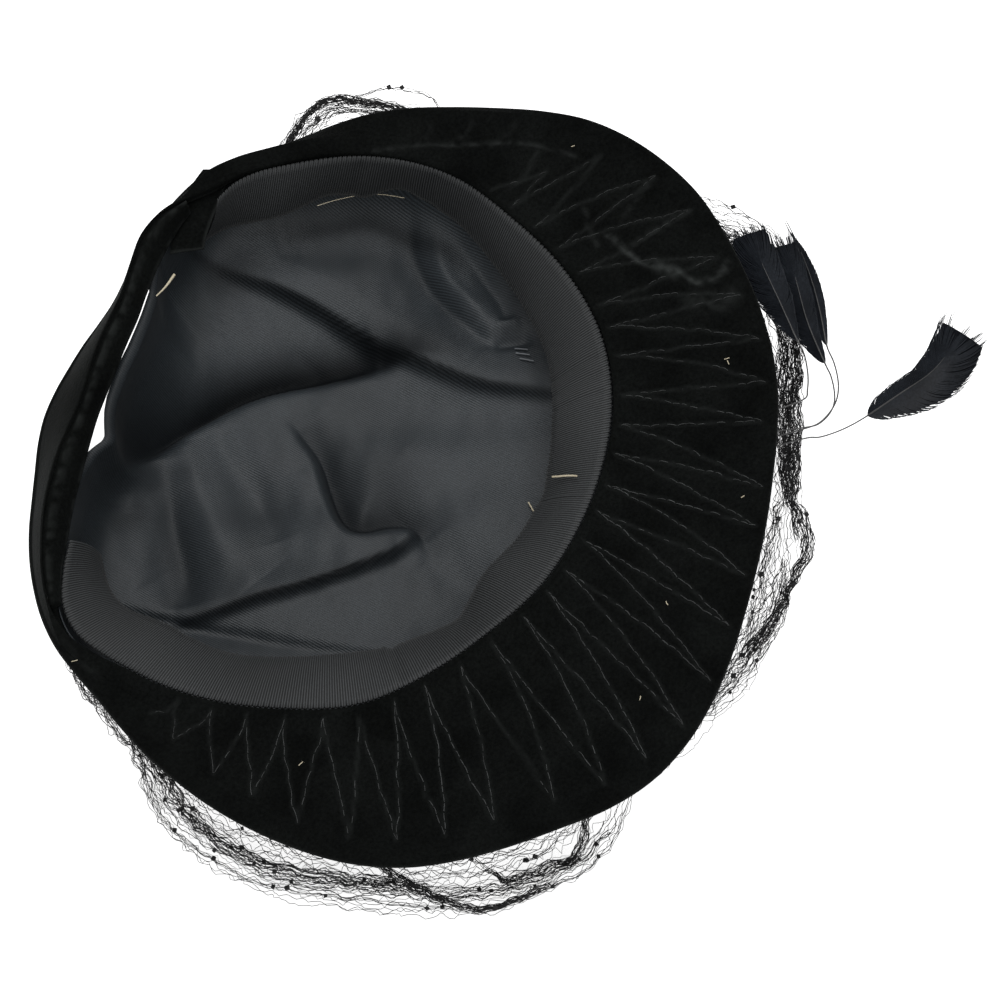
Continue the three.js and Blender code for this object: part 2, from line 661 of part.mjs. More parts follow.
// A feather: the quill and vane in one blade, with ragged locks fused to its end. Its place in the
// knot's row of quills is counted from the knot's middle.
function makeFeather(rows, width, place, ragged) {
  const start = knotAngle + (place * quillSpacing * 180) / (Math.PI * knotOuterRadius());
  const root = polar(start, knotOuterRadius() + sewnGap, knotHeight);
  const run = rows.map((row) => {
    const reach = knotOuterRadius() + featherRun * row.reach;
    return polar(row.angle, reach, seamHeight * row.lift);
  });
  const path = [root, ...run];
  const blade = bladeGeometry([{ left: 0, right: 0 }, ...rows], width, path, rows.length * 3);
  if (!ragged) {
    return blade;
  }
  const locks = makeLocks(new THREE.CatmullRomCurve3(path), width);
  return toGeometry(locks.reduce((sum, lock) => sum.add(toSolid(lock)), toSolid(blade)));
}

const group = new THREE.Group();
group.add(namedMesh('crown', makeCrown(), velvetBlack));
group.add(namedMesh('brim', makeBrim(), velvetBlack));
group.add(namedMesh('back_strap', makeStrap(), velvetBlack));
group.add(namedMesh('head_ribbon', makeRibbon(), ribbonBlack));
group.add(namedMesh('lining_side', makeLiningSide(), liningBlack));
group.add(namedMesh('lining_tip', makeLiningTip(), liningBlack));
veilStretches.forEach((stretch, i) => {
  const geometry = makeVeil(stretch, i === 0, i === veilStretches.length - 1);
  group.add(namedMesh(stretch.name, geometry, netBlack));
});
group.add(namedMesh('feather_knot', makeKnot(), velvetBlack));
group.add(namedMesh('feather_broad', makeFeather(broadFeather, broadWidth, 1.5, false), featherBlack));
group.add(namedMesh('feather_middle', makeFeather(middleFeather, middleWidth, 0.5, false), featherBlack));
group.add(namedMesh('feather_spike', makeFeather(spikeFeather, spikeWidth, -0.5, false), featherBlack));
group.add(namedMesh('feather_lone', makeFeather(loneFeather, loneWidth, -1.5, true), featherBlack));

export default group;
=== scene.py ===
import math

import bpy
import numpy as np
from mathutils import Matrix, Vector
from mathutils.bvhtree import BVHTree


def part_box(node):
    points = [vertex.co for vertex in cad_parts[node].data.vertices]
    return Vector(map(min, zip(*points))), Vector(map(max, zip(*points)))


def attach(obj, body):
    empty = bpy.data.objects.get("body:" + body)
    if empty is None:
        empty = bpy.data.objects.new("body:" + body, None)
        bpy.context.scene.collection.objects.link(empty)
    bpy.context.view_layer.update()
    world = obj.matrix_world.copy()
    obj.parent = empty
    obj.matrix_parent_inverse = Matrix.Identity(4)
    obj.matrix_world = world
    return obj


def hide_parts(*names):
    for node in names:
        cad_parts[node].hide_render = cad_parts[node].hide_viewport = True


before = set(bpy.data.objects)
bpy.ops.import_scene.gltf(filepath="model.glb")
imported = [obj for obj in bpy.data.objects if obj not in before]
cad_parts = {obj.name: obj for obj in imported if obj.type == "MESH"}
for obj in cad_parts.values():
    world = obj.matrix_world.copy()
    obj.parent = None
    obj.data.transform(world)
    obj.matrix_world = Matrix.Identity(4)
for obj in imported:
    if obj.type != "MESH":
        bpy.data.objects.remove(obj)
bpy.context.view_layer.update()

# The hat lies on the tip of its crown. Metres; the front is at -90 degrees, the back at 90.
mm = 0.001
white = (1.0, 1.0, 1.0, 1.0)


# Smooth curves through tables

def roundTable(rows, angles):
    # rows evenly spaced from -180; a smooth closed curve through each column
    rows = np.asarray(rows, float)
    count = len(rows)
    place = (np.asarray(angles, float) + 180) / 360 * count
    low = np.floor(place).astype(int)
    t = place - low
    if rows.ndim > 1:
        t = t.reshape(t.shape + (1,) * (rows.ndim - 1))
    a, b, c, d = (rows[(low + k) % count] for k in (-1, 0, 1, 2))
    return 0.5 * (2 * b + (c - a) * t + (2 * a - 5 * b + 4 * c - d) * t ** 2
                  + (3 * b - a - 3 * c + d) * t ** 3)


def curveStep(a, b, slopeA, slopeB, step, t):
    # smooth run from a to b with a slope at either end
    return (a + (b - a) * (3 * t ** 2 - 2 * t ** 3)
            + (t ** 3 - 2 * t ** 2 + t) * step * slopeA + (t ** 3 - t ** 2) * step * slopeB)


def openTable(keys, values, at):
    # a smooth curve through unevenly spaced rows, flat past its ends
    keys = np.asarray(keys, float)
    values = np.asarray(values, float)
    at = np.clip(at, keys[0], keys[-1])
    low = np.clip(np.searchsorted(keys, at, side="right") - 1, 0, len(keys) - 2)
    slope = np.gradient(values, keys, axis=0)
    step = keys[low + 1] - keys[low]
    t = (at - keys[low]) / step
    extra = (1,) * (values.ndim - 1)
    t, step = t.reshape(t.shape + extra), step.reshape(step.shape + extra)
    return curveStep(values[low], values[low + 1], slope[low], slope[low + 1], step, t)


def curveThrough(spots, count=30):
    return openTable(np.linspace(0, 1, len(spots)), spots, np.linspace(0, 1, count))


def runAlong(line):
    # how far along a line each of its points lies
    return np.r_[0, np.cumsum(np.linalg.norm(np.diff(line, axis=0), axis=1))]


def pointsAt(at, run, line):
    # points of a line at given lengths along it
    return np.stack([np.interp(at, run, column) for column in line.T], -1)


def roundAngles(count):
    return -180 + 360 * np.arange(count) / count


def angleGap(angles, middle):
    return (angles - middle + 180) % 360 - 180


def noiseAt(points, size, seed):
    # smooth noise from -1 to 1, summed from a few fixed waves
    draw = np.random.default_rng(seed)
    total = np.zeros(len(points))
    for turn in range(12):
        way = draw.normal(size=3)
        way = way / np.linalg.norm(way) * draw.uniform(0.6, 1.6) / size
        total += np.sin(points @ way * 2 * np.pi + draw.uniform(0, 2 * np.pi))
    return total / 3.5


def polarPoint(angle, radius, height):
    turn = np.radians(angle)
    return np.stack([radius * np.cos(turn), radius * np.sin(turn), height + 0 * turn], -1)


def vertexPoints(mesh):
    flat = np.empty(len(mesh.vertices) * 3)
    mesh.vertices.foreach_get("co", flat)
    return flat.reshape(-1, 3)


def nodePoints(name):
    return np.unique(np.round(vertexPoints(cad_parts[name].data), 6), axis=0)


def nodeSections(name, step=6):
    # the corners of a node at each of its stations, as radius and height
    points = nodePoints(name)
    turn = np.degrees(np.arctan2(points[:, 1], points[:, 0]))
    station = np.round((turn + 180) / step).astype(int) % (360 // step)
    radius = np.hypot(points[:, 0], points[:, 1])
    return {int(s): np.stack([radius, points[:, 2]], -1)[station == s] for s in np.unique(station)}


# Making pieces

def addObject(name, data):
    piece = bpy.data.objects.new(name, data)
    bpy.context.scene.collection.objects.link(piece)
    return piece


def finishPiece(piece, nodes=()):
    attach(piece, "root")
    if nodes:
        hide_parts(*nodes)
    return piece


def newPiece(name, points, faces, material, slot, nodes=()):
    mesh = bpy.data.meshes.new(name)
    mesh.from_pydata([tuple(p) for p in np.asarray(points)], [], [tuple(f) for f in faces])
    mesh.update()
    mesh.polygons.foreach_set("use_smooth", [True] * len(mesh.polygons))
    mesh.materials.append(material)
    return finishPiece(addObject(name, mesh), nodes)


def gridFaces(rows, columns, closeRows=False, closeColumns=False):
    i = np.arange(rows if closeRows else rows - 1)
    j = np.arange(columns if closeColumns else columns - 1)
    i, j = np.meshgrid(i, j, indexing="ij")
    a = i * columns + j
    b = ((i + 1) % rows) * columns + j
    c = ((i + 1) % rows) * columns + (j + 1) % columns
    d = i * columns + (j + 1) % columns
    return np.stack([a, b, c, d], -1).reshape(-1, 4)


def outward(points, faces):
    # turns all faces round if the closed body is inside out, and says whether it did
    a, b, c, d = (points[faces[:, k]] for k in range(4))
    volume = np.einsum("ij,ij->i", a, np.cross(b, c)).sum()
    volume += np.einsum("ij,ij->i", a, np.cross(c, d)).sum()
    return (faces, False) if volume > 0 else (faces[:, ::-1], True)


def tubePiece(name, grid, *rest):
    # a piece from rings of points, rows x columns x 3, with a cap at either end
    rows, columns = grid.shape[:2]
    points = grid.reshape(-1, 3)
    faces, wasTurned = outward(points, gridFaces(rows, columns, closeColumns=True))
    caps = [np.arange(columns), (rows - 1) * columns + np.arange(columns)[::-1]]
    if wasTurned:
        caps = [cap[::-1] for cap in caps]
    return newPiece(name, points, [*faces, *caps], *rest)


def cupPiece(name, grid, centres, *rest):
    # a piece from a wall turned round the middle, whose two skins each end in a centre
    around, columns = grid.shape[:2]
    points = np.concatenate([grid.reshape(-1, 3), centres])
    faces, wasTurned = outward(points, gridFaces(around, columns, closeRows=True))
    first, last = len(points) - 2, len(points) - 1
    i = np.arange(around)
    following = (i + 1) % around
    fans = np.concatenate([
        np.stack([following * columns, i * columns, np.full(around, first)], -1),
        np.stack([(i + 1) * columns - 1, (following + 1) * columns - 1, np.full(around, last)], -1)])
    return newPiece(name, points, [*faces, *(fans[:, ::-1] if wasTurned else fans)], *rest)


def bakeModifiers(piece):
    # the evaluated mesh takes the place of the modifiers
    graph = bpy.context.evaluated_depsgraph_get()
    mesh = bpy.data.meshes.new_from_object(piece.evaluated_get(graph))
    piece.modifiers.clear()
    old = piece.data
    piece.data = mesh
    bpy.data.meshes.remove(old)
    return piece


def setAttribute(piece, name, values):
    layer = piece.data.attributes.new(name, "FLOAT", "POINT")
    layer.data.foreach_set("value", np.asarray(values, float))


def surfaceNormals(grid, closeRows):
    # normals of a grid of points, rows x columns x 3
    along = np.roll(grid, -1, 0) - np.roll(grid, 1, 0) if closeRows else np.gradient(grid, axis=0)
    across = np.gradient(grid, axis=1)
    normal = np.cross(along, across)
    return normal / np.maximum(np.linalg.norm(normal, axis=-1, keepdims=True), 1e-12)


# Materials

def addNode(tree, kind, place, inputs=None, **settings):
    node = tree.nodes.new(kind)
    node.location = (place[0] * 200, -place[1] * 200)
    for key, value in settings.items():
        setattr(node, key, value)
    for key, value in (inputs or {}).items():
        node.inputs[key].default_value = value
    return node


def newGroup(name, kind, inputs, outputs):
    tree = bpy.data.node_groups.new(name, kind)
    for label, socketKind, value in inputs:
        socket = tree.interface.new_socket(name=label, in_out="INPUT", socket_type=socketKind)
        if value is not None:
            socket.default_value = value
    for label, socketKind in outputs:
        tree.interface.new_socket(name=label, in_out="OUTPUT", socket_type=socketKind)
    return tree, tree.nodes.new("NodeGroupInput"), tree.nodes.new("NodeGroupOutput")


def makeFibreGroup():
    # cloudy and fine unevenness that velvet, cloth and feathers share
    tree, into, out = newGroup(
        "fibreMottle", "ShaderNodeTree",
        [("Scale", "NodeSocketFloat", 900.0), ("Cloud Scale", "NodeSocketFloat", 40.0),
         ("Dark", "NodeSocketColor", None), ("Light", "NodeSocketColor", None)],
        [("Color", "NodeSocketColor"), ("Height", "NodeSocketFloat"), ("Cloud", "NodeSocketFloat")])
    link = tree.links.new
    where = addNode(tree, "ShaderNodeTexCoord", (0, 0))
    fine = addNode(tree, "ShaderNodeTexNoise", (1, 0), {"Detail": 3.0, "Roughness": 0.65})
    cloud = addNode(tree, "ShaderNodeTexNoise", (1, 1), {"Detail": 4.0, "Roughness": 0.55})
    for node, label in ((fine, "Scale"), (cloud, "Cloud Scale")):
        link(where.outputs["Object"], node.inputs["Vector"])
        link(into.outputs[label], node.inputs["Scale"])
    both = addNode(tree, "ShaderNodeMath", (2, 0), operation="MULTIPLY")
    link(fine.outputs["Fac"], both.inputs[0])
    link(cloud.outputs["Fac"], both.inputs[1])
    spread = addNode(tree, "ShaderNodeMapRange", (3, 0), {"From Min": 0.12, "From Max": 0.42})
    link(both.outputs[0], spread.inputs["Value"])
    mix = addNode(tree, "ShaderNodeMix", (4, 0), data_type="RGBA")
    link(spread.outputs[0], mix.inputs["Factor"])
    link(into.outputs["Dark"], mix.inputs[6])
    link(into.outputs["Light"], mix.inputs[7])
    link(mix.outputs[2], out.inputs["Color"])
    link(fine.outputs["Fac"], out.inputs["Height"])
    link(cloud.outputs["Fac"], out.inputs["Cloud"])
    return tree


fibreGroup = makeFibreGroup()


def newFinish(name, look):
    # a Principled material whose colour comes from the shared mottle
    material = bpy.data.materials.new(name)
    material.use_nodes = True
    tree = material.node_tree
    shader = tree.nodes["Principled BSDF"]
    for key, value in look.get("shader", {}).items():
        shader.inputs[key].default_value = value
    mottle = addNode(tree, "ShaderNodeGroup", (-4, 0), node_tree=fibreGroup)
    mottle.inputs["Scale"].default_value = look["fineScale"]
    mottle.inputs["Cloud Scale"].default_value = look["cloudScale"]
    mottle.inputs["Dark"].default_value = (*look["dark"], 1.0)
    mottle.inputs["Light"].default_value = (*look["light"], 1.0)
    bump = addNode(tree, "ShaderNodeBump", (-1, 2),
                   {"Strength": look["bump"], "Distance": look["bumpDepth"]})
    tree.links.new(mottle.outputs["Height"], bump.inputs["Height"])
    tree.links.new(bump.outputs["Normal"], shader.inputs["Normal"])
    tree.links.new(mottle.outputs["Color"], shader.inputs["Base Color"])
    return material, tree, shader, mottle, bump


def mixByAttribute(tree, shader, attribute, colour, place=(-2, 0)):
    # blends the base colour towards another by a point attribute
    source = shader.inputs["Base Color"].links[0].from_socket
    mask = addNode(tree, "ShaderNodeAttribute", (place[0] - 1, place[1] + 1), attribute_name=attribute)
    mix = addNode(tree, "ShaderNodeMix", place, {7: (*colour, 1.0)}, data_type="RGBA", clamp_factor=True)
    tree.links.new(mask.outputs["Fac"], mix.inputs["Factor"])
    tree.links.new(source, mix.inputs[6])
    tree.links.new(mix.outputs[2], shader.inputs["Base Color"])
    return mask, mix


velvetLook = {
    "dark": (0.0008, 0.0010, 0.0009),
    "light": (0.0052, 0.0060, 0.0056),
    "fineScale": 900.0,
    "cloudScale": 55.0,
    "bump": 0.6,
    "bumpDepth": 0.0006,
    "shader": {"Roughness": 0.95, "Specular IOR Level": 0.06, "Sheen Weight": 0.014,
               "Sheen Roughness": 0.45, "Sheen Tint": (0.85, 0.95, 0.92, 1.0)},
    # lighter pile where it is pressed, and painted sheen along the strap's ridge
    "pressed_pile_and_sheen": (0.030, 0.033, 0.032),
}


def makeMarked(name, look, attribute):
    # a finish with a second colour where a point attribute says
    material, tree, shader, *_ = newFinish(name, look)
    mixByAttribute(tree, shader, attribute, look[attribute])
    return material


ribbonLook = {
    "dark": (0.034, 0.0367, 0.0385),
    "light": (0.053, 0.0568, 0.0593),
    "fineScale": 1600.0,
    "cloudScale": 30.0,
    "bump": 0.25,
    "bumpDepth": 0.0003,
    "shader": {"Roughness": 0.62, "Specular IOR Level": 0.35, "Sheen Weight": 0.05,
               "Sheen Roughness": 0.4},
    # colour of the painted shade in the grooves
    "groove": (0.0030, 0.0033, 0.0034),
}


liningLook = {
    "dark": (0.0140, 0.0176, 0.0207),
    "light": (0.030, 0.0367, 0.0425),
    "fineScale": 1400.0,
    "cloudScale": 22.0,
    "bump": 0.2,
    "bumpDepth": 0.0002,
    "shader": {"Roughness": 0.52, "Specular IOR Level": 0.42, "Sheen Weight": 0.02,
               "Sheen Roughness": 0.35},
    # colour of the painted shade in folds and at the turned edge
    "shade": (0.0030, 0.0035, 0.0040),
    "twillPitch": 0.00072,
    "twillTurn": -8.0,
    "twillDepth": 0.00009,
    "twillShade": 0.52,       # painted shade and highlight: how much the colour falls and rises from rib to rib
    "twillHighlight": 1.34,
    "shadeGloss": 0.03,      # what is left of the gloss where shade is painted
}


def makeTwill():
    material, tree, shader, mottle, bump = newFinish("twill_lining", liningLook)
    link = tree.links.new
    where = addNode(tree, "ShaderNodeUVMap", (-7, 3), uv_map="cloth")
    turn = addNode(tree, "ShaderNodeMapping", (-6, 3),
                   {"Rotation": (0, 0, math.radians(liningLook["twillTurn"]))})
    # a wave texture of scale 1 repeats every 0.314 units
    wave = addNode(tree, "ShaderNodeTexWave", (-5, 3),
                   {"Scale": 0.314 / liningLook["twillPitch"], "Distortion": 0.6, "Detail": 1.0,
                    "Detail Scale": 2.0},
                   wave_type="BANDS", bands_direction="X", wave_profile="SIN")
    link(where.outputs["UV"], turn.inputs["Vector"])
    link(turn.outputs["Vector"], wave.inputs["Vector"])
    ribs = addNode(tree, "ShaderNodeBump", (-2, 3), {"Strength": 0.8, "Distance": liningLook["twillDepth"]})
    link(wave.outputs["Fac"], ribs.inputs["Height"])
    link(ribs.outputs["Normal"], bump.inputs["Normal"])
    # painted shade and highlight of the ribs, in step with their bumps
    shade = addNode(tree, "ShaderNodeMapRange", (-4, 4),
                    {"To Min": liningLook["twillShade"], "To Max": liningLook["twillHighlight"]})
    link(wave.outputs["Fac"], shade.inputs["Value"])
    ribShaded = addNode(tree, "ShaderNodeMix", (-2, 1), {"Factor": 1.0}, data_type="RGBA", blend_type="MULTIPLY")
    link(mottle.outputs["Color"], ribShaded.inputs[6])
    link(shade.outputs[0], ribShaded.inputs[7])
    link(ribShaded.outputs[2], shader.inputs["Base Color"])
    # painted shade: darker colour and less gloss where the shade attribute says
    mask, _ = mixByAttribute(tree, shader, "shade", liningLook["shade"])
    shadedGloss = addNode(tree, "ShaderNodeMapRange", (-1, 3),
                   {"To Min": liningLook["shader"]["Specular IOR Level"], "To Max": liningLook["shadeGloss"]})
    link(mask.outputs["Fac"], shadedGloss.inputs["Value"])
    link(shadedGloss.outputs[0], shader.inputs["Specular IOR Level"])
    return material


def makePlain(name, dark, light, roughness, shine=0.5):
    look = {"dark": dark, "light": light, "fineScale": 1200.0, "cloudScale": 90.0, "bump": 0.15,
            "bumpDepth": 0.0002, "shader": {"Roughness": roughness, "Specular IOR Level": shine}}
    return newFinish(name, look)[0]


velvet = makeMarked("velvet", velvetLook, "pressed_pile_and_sheen")
grosgrain = makeMarked("grosgrain", ribbonLook, "groove")
twill = makeTwill()
blackThread = makePlain("stitch_thread", (0.015, 0.0162, 0.0162), (0.056, 0.060, 0.060), 0.7)
creamThread = makePlain("cream_thread", (0.46, 0.40, 0.28), (0.64, 0.58, 0.44), 0.7)
greyThread = makePlain("grey_thread", (0.09, 0.10, 0.11), (0.16, 0.17, 0.18), 0.5)
netThread = makePlain("net_thread", (0.004, 0.004, 0.0045), (0.012, 0.012, 0.013), 0.7)
barbFinish = makePlain("feather_barbs", (0.0038, 0.0048, 0.0070), (0.017, 0.0205, 0.0265), 0.46, 0.25)
# the leaf under the barbs is dark as painted shade between them
leafShadeFinish = makePlain("feather_leaf", (0.0015, 0.0018, 0.0026), (0.0045, 0.0054, 0.0078), 0.75, 0.06)
quillFinish = makePlain("quill", (0.02, 0.02, 0.02), (0.05, 0.05, 0.05), 0.35)
print("materials ready")


# Outline of the hat from the frame

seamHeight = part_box("crown")[1][2]
brimSections = nodeSections("brim")


def brimRow(corners):
    # five radii across the top, the nose, and the same radii below
    order = corners[np.argsort(corners[:, 0])]
    nose = order[-1]
    pairs = order[:-1].reshape(-1, 2, 2)
    top = pairs[np.arange(len(pairs)), pairs[:, :, 1].argmax(1)]
    low = pairs[np.arange(len(pairs)), pairs[:, :, 1].argmin(1)]
    return np.concatenate([top, [nose], low[::-1]])


brimTable = np.array([brimRow(brimSections[s]) for s in sorted(brimSections)])
# Small unevenness of the brim's turned edge: angle and millimetres outward
edgeShift = [
    (-180, 0), (-145, 0), (-132, -0.6), (-121, -1.6), (-113, -1.6), (-107, 0.4), (-101, 1.8), (-94, 1.8),
    (-87, 0.4), (-60, 0), (-26, 0.2), (-20, 1.0), (-10, 1.1), (-3, 0.9), (6, 0), (180, 0),
]


def shiftEdge(table):
    angles = np.linspace(-180, 180, len(table) + 1)[:-1]
    shift = np.interp(angles, [row[0] for row in edgeShift], [row[1] for row in edgeShift]) * mm
    inner = table[:, :1, 0]
    share = np.clip((table[:, :, 0] - inner) / (table[:, 4:5, 0] - inner), 0, 1)
    moved = table.copy()
    moved[:, :, 0] += share ** 2 * shift[:, None]
    return moved


brimTable = shiftEdge(brimTable)
ribbonSections = nodeSections("head_ribbon")


def ribbonRow(corners):
    order = corners[np.argsort(corners[:, 1])]
    return np.array([order[-2:].mean(0), order[:2].mean(0)])


ribbonTable = np.array([ribbonRow(ribbonSections[s]) if s in ribbonSections else np.full((2, 2), np.nan)
                        for s in range(60)])


def fillGap(table):
    # straight rows across the stations that a node leaves out
    flat = table.reshape(len(table), -1)
    for column in flat.T:
        known = np.where(~np.isnan(column))[0]
        column[:] = np.interp(np.arange(len(column)), np.r_[known - len(column), known, known + len(column)],
                              np.tile(column[known], 3))
    return flat.reshape(table.shape)


ribbonTable = fillGap(ribbonTable)
crownSections = nodeSections("crown")


def rimCorner(corners):
    # the outermost of the highest corners
    return max(tuple(corner) for corner in corners if corner[1] > corners[:, 1].max() - 0.1 * mm)


crownRim = np.array([rimCorner(crownSections[k]) for k in sorted(crownSections)])
strapSections = nodeSections("back_strap")
strapAngles = np.array([6.0 * k - 180 for k in sorted(strapSections)])


def strapRow(corners):
    # pairs of corners from the inner edge to the outer one, without the middle of an end cap
    if len(corners) > 6:
        middle = np.linalg.norm(corners - corners.mean(0), axis=1).argmin()
        corners = np.delete(corners, middle, 0)
    pairs = corners[np.argsort(corners[:, 0])].reshape(3, 2, 2)
    return np.array([pair[np.argsort(pair[:, 1])] for pair in pairs])


strapTable = np.array([strapRow(strapSections[k]) for k in sorted(strapSections)])

# Slit between the strap and the lining: angle and width in mm; below 0 the rim is under the strap
slit = [
    (77, -4.4), (81, -2.2), (84, 0.0), (89, 0.15), (95, 0.10), (99, 0.0), (103, -0.4), (106, -0.6),
    (109, -0.5), (114, 0.0), (118, 0.9), (122, 2.4), (125.0, 3.6), (126.6, 3.4), (128.6, 0.9),
    (130.6, -1.2), (134, -2.8),
]


rimEase = {
    "slit": 3.5 * mm,        # width over which the rim comes up to the seam's height
    "below": 0.4 * mm,       # how far under the seam it then stays
    # the strap covers the rim from one angle to another, and each has its ease, in degrees
    "coverStart": 78,
    "coverStartEase": 4,
    "coverEnd": 146,
    "coverEndEase": 8,
}


def rimAt(angles):
    # the crown's outer rim as radius and height, brought in where the slit shows, and how far the
    # strap covers it
    rows = roundTable(crownRim, angles)
    inside = (angles > slit[0][0]) & (angles < slit[-1][0])
    at = np.clip(angles, slit[0][0], slit[-1][0])
    strapInner = openTable(strapAngles, strapTable[:, 0, :, 0].mean(1), at)
    width = np.interp(at, [row[0] for row in slit], [row[1] for row in slit]) * mm
    opened = np.clip((width + rimEase["slit"]) / rimEase["slit"], 0, 1) * inside
    rows[:, 0] = np.where(inside, strapInner - width, rows[:, 0])
    rows[:, 1] = rows[:, 1] + opened * (seamHeight - rimEase["below"] - rows[:, 1])
    covered = np.clip((angles - rimEase["coverStart"]) / rimEase["coverStartEase"], 0, 1)
    return rows, covered * np.clip((rimEase["coverEnd"] - angles) / rimEase["coverEndEase"], 0, 1)


# Topstitching on the brim

stitching = {
    "pitch": 3.1 * mm,
    "length": 2.7 * mm,
    "width": 0.30 * mm,
    "groove": 0.55 * mm,
    "grooveWidth": 1.3 * mm,
    "waver": 0.28 * mm,
    "waverSize": 9 * mm,
    "bow": 0.35,                  # degrees that a row may bend to either side
    "innerReach": 0.04,           # share of the brim's width where the rows turn at the ribbon
    "faintest": 0.65,             # share of its strength that a row keeps at least
}
# Points of the zigzag: angle of one beside the ribbon, angle of the next one outside, how far across
# the brim that one lies, and how strongly its two rows of stitches show
zigzag = [
    (6, 0, 0.45, 0.15), (1, -4.9, 0.80, 0.2), (-5, -12.7, 0.90, 0.2), (-11, -19.6, 0.90, 0.25),
    (-17.4, -27.4, 0.90, 0.3), (-25, -33.8, 0.94, 0.35), (-30, -40.4, 0.96, 0.45),
    (-36, -46.6, 0.96, 0.6), (-44, -52.2, 0.93, 0.7), (-50.5, -61.7, 0.97, 0.9), (-56.5, -67.1, 0.96, 1),
    (-63.3, -74.2, 0.97, 1), (-69.4, -81.3, 0.96, 1), (-76.1, -88.6, 0.97, 1), (-83.5, -95, 0.96, 1),
    (-89.6, -100.8, 0.93, 1), (-96.9, -106.5, 0.91, 1), (-105, -112.7, 0.88, 1),
    (-113.4, -120.2, 0.86, 1), (-121.5, -126.5, 0.87, 1), (-128.1, -132.4, 0.86, 1),
    (-135.3, -138.2, 0.86, 0.9), (-141.8, -145.1, 0.84, 0.9), (-149.1, -151.7, 0.75, 0.8),
    (-156, -158.1, 0.72, 0.7), (-162.2, -166, 0.60, 0.5), (-168.9, -172, 0.45, 0.3),
]


def brimTop(angles, across):
    # points on the brim's upper face; across runs from its inner edge, 0, to its turned edge, 1
    rows = roundTable(brimTable[:, :5], angles)
    place = np.array([0.0, 0.06, 0.34, 0.67, 1.0])
    at = np.clip(across, 0, 1)
    low = np.clip(np.searchsorted(place, at, side="right") - 1, 0, 3)
    t = (at - place[low]) / (place[low + 1] - place[low])
    index = np.arange(len(at))
    slope = np.gradient(rows, place, axis=1)
    step = (place[low + 1] - place[low])[:, None]
    row = curveStep(rows[index, low], rows[index, low + 1], slope[index, low], slope[index, low + 1],
                    step, t[:, None])
    return polarPoint(angles, row[:, 0], row[:, 1])


def zigzagLine():
    # the stitched line as closely spaced points that waver a little, and how strongly each one shows
    corners = []
    for inner, outer, reach, strength in zigzag:
        corners.append((inner, stitching["innerReach"], strength))
        corners.append((outer, reach, strength))
    draw = np.random.default_rng(11)
    line, shown = [], []
    for (angleA, acrossA, shownA), (angleB, acrossB, shownB) in zip(corners, corners[1:]):
        share = np.linspace(0, 1, 40)[:-1]
        bow = np.sin(share * np.pi) * draw.uniform(-stitching["bow"], stitching["bow"])
        angles = angleA + (angleB - angleA) * share + bow
        line.append(brimTop(angles, acrossA + (acrossB - acrossA) * share))
        shown.append((shownA + (shownB - shownA) * share) * draw.uniform(stitching["faintest"], 1.0))
    line = np.concatenate(line)
    for axis in (0, 1):
        line[:, axis] += stitching["waver"] * noiseAt(line, stitching["waverSize"], 3 + axis)
    return line, np.concatenate(shown)


stitchLine, stitchShown = zigzagLine()


def nearestDistance(points, line):
    # distance in plan from each point to a polyline
    best = np.full(len(points), 1.0)
    plan = points[:, :2]
    corners = line[::3, :2]
    for start, end in zip(corners[:-1], corners[1:]):
        run = end - start
        t = np.clip(((plan - start) @ run) / max(run @ run, 1e-12), 0, 1)
        gap = np.linalg.norm(plan - start - t[:, None] * run, axis=1)
        np.minimum(best, gap, out=best)
    return best


# Brim

brim = {
    "around": 720,
    "across": 56,
    "puff": 0.5 * mm,        # how far the velvet swells between rows of stitches
    "puffWidth": 3.2 * mm,
    "wave": 0.5 * mm,
    "waveSize": 45 * mm,
    "rowLight": 0.22,        # lighter pile along the rows of stitches
    "rowWidth": 0.6 * mm,
    "patchSize": 4 * mm,     # of the unevenness in the marks
}
# Marks in the pile as points by angle and reach across, their width and height in mm, and how light
pileMarks = [
    {"line": [(28.8, 0.02), (24.1, 0.06), (19.8, 0.14), (13.2, 0.40), (8.0, 0.56), (4.6, 0.62),
              (1.2, 0.65), (-3.1, 0.68)], "width": 0.8, "height": -0.5, "light": 0.30},
    {"line": [(-15, 0.36), (-19.8, 0.40), (-23.7, 0.50), (-26.5, 0.63), (-29.4, 0.70), (-29.9, 0.86),
              (-28.5, 0.96)], "width": 1.0, "height": -0.5, "light": 0.75},
    {"line": [(-23, 0.49), (-26.5, 0.60)], "width": 2.2, "height": 0.2, "light": 0.35},
    {"line": [(-31, 0.60), (-34, 0.78), (-33, 0.90)], "width": 3.0, "height": 0.2, "light": 0.22},
    {"line": [(-18.5, 0.45), (-19.0, 0.70), (-19.6, 0.92)], "width": 1.0, "height": -0.3, "light": 0.22},
    {"line": [(-14.4, 0.50), (-13.2, 0.72), (-12.7, 0.88)], "width": 0.9, "height": -0.3, "light": 0.22},
    {"line": [(-9.0, 0.38), (-11.5, 0.30), (-15.5, 0.24)], "width": 1.0, "height": -0.3, "light": 0.22},
    {"line": [(10, 0.45), (8.5, 0.66), (8.2, 0.84)], "width": 0.9, "height": -0.3, "light": 0.16},
    {"line": [(16, 0.34), (14.6, 0.58), (14.2, 0.80)], "width": 0.9, "height": -0.3, "light": 0.16},
    {"line": [(3.5, 0.10), (2.6, 0.34), (3.0, 0.58)], "width": 0.9, "height": -0.3, "light": 0.16},
    {"line": [(21, 0.20), (20.4, 0.45), (20.8, 0.72)], "width": 0.9, "height": -0.25, "light": 0.14},
    {"line": [(176, 0.30), (171, 0.36), (165, 0.34)], "width": 1.6, "height": -0.3, "light": 0.12},
]


def markLine(mark):
    spots = curveThrough(mark["line"], 60)
    return brimTop(spots[:, 0], spots[:, 1])


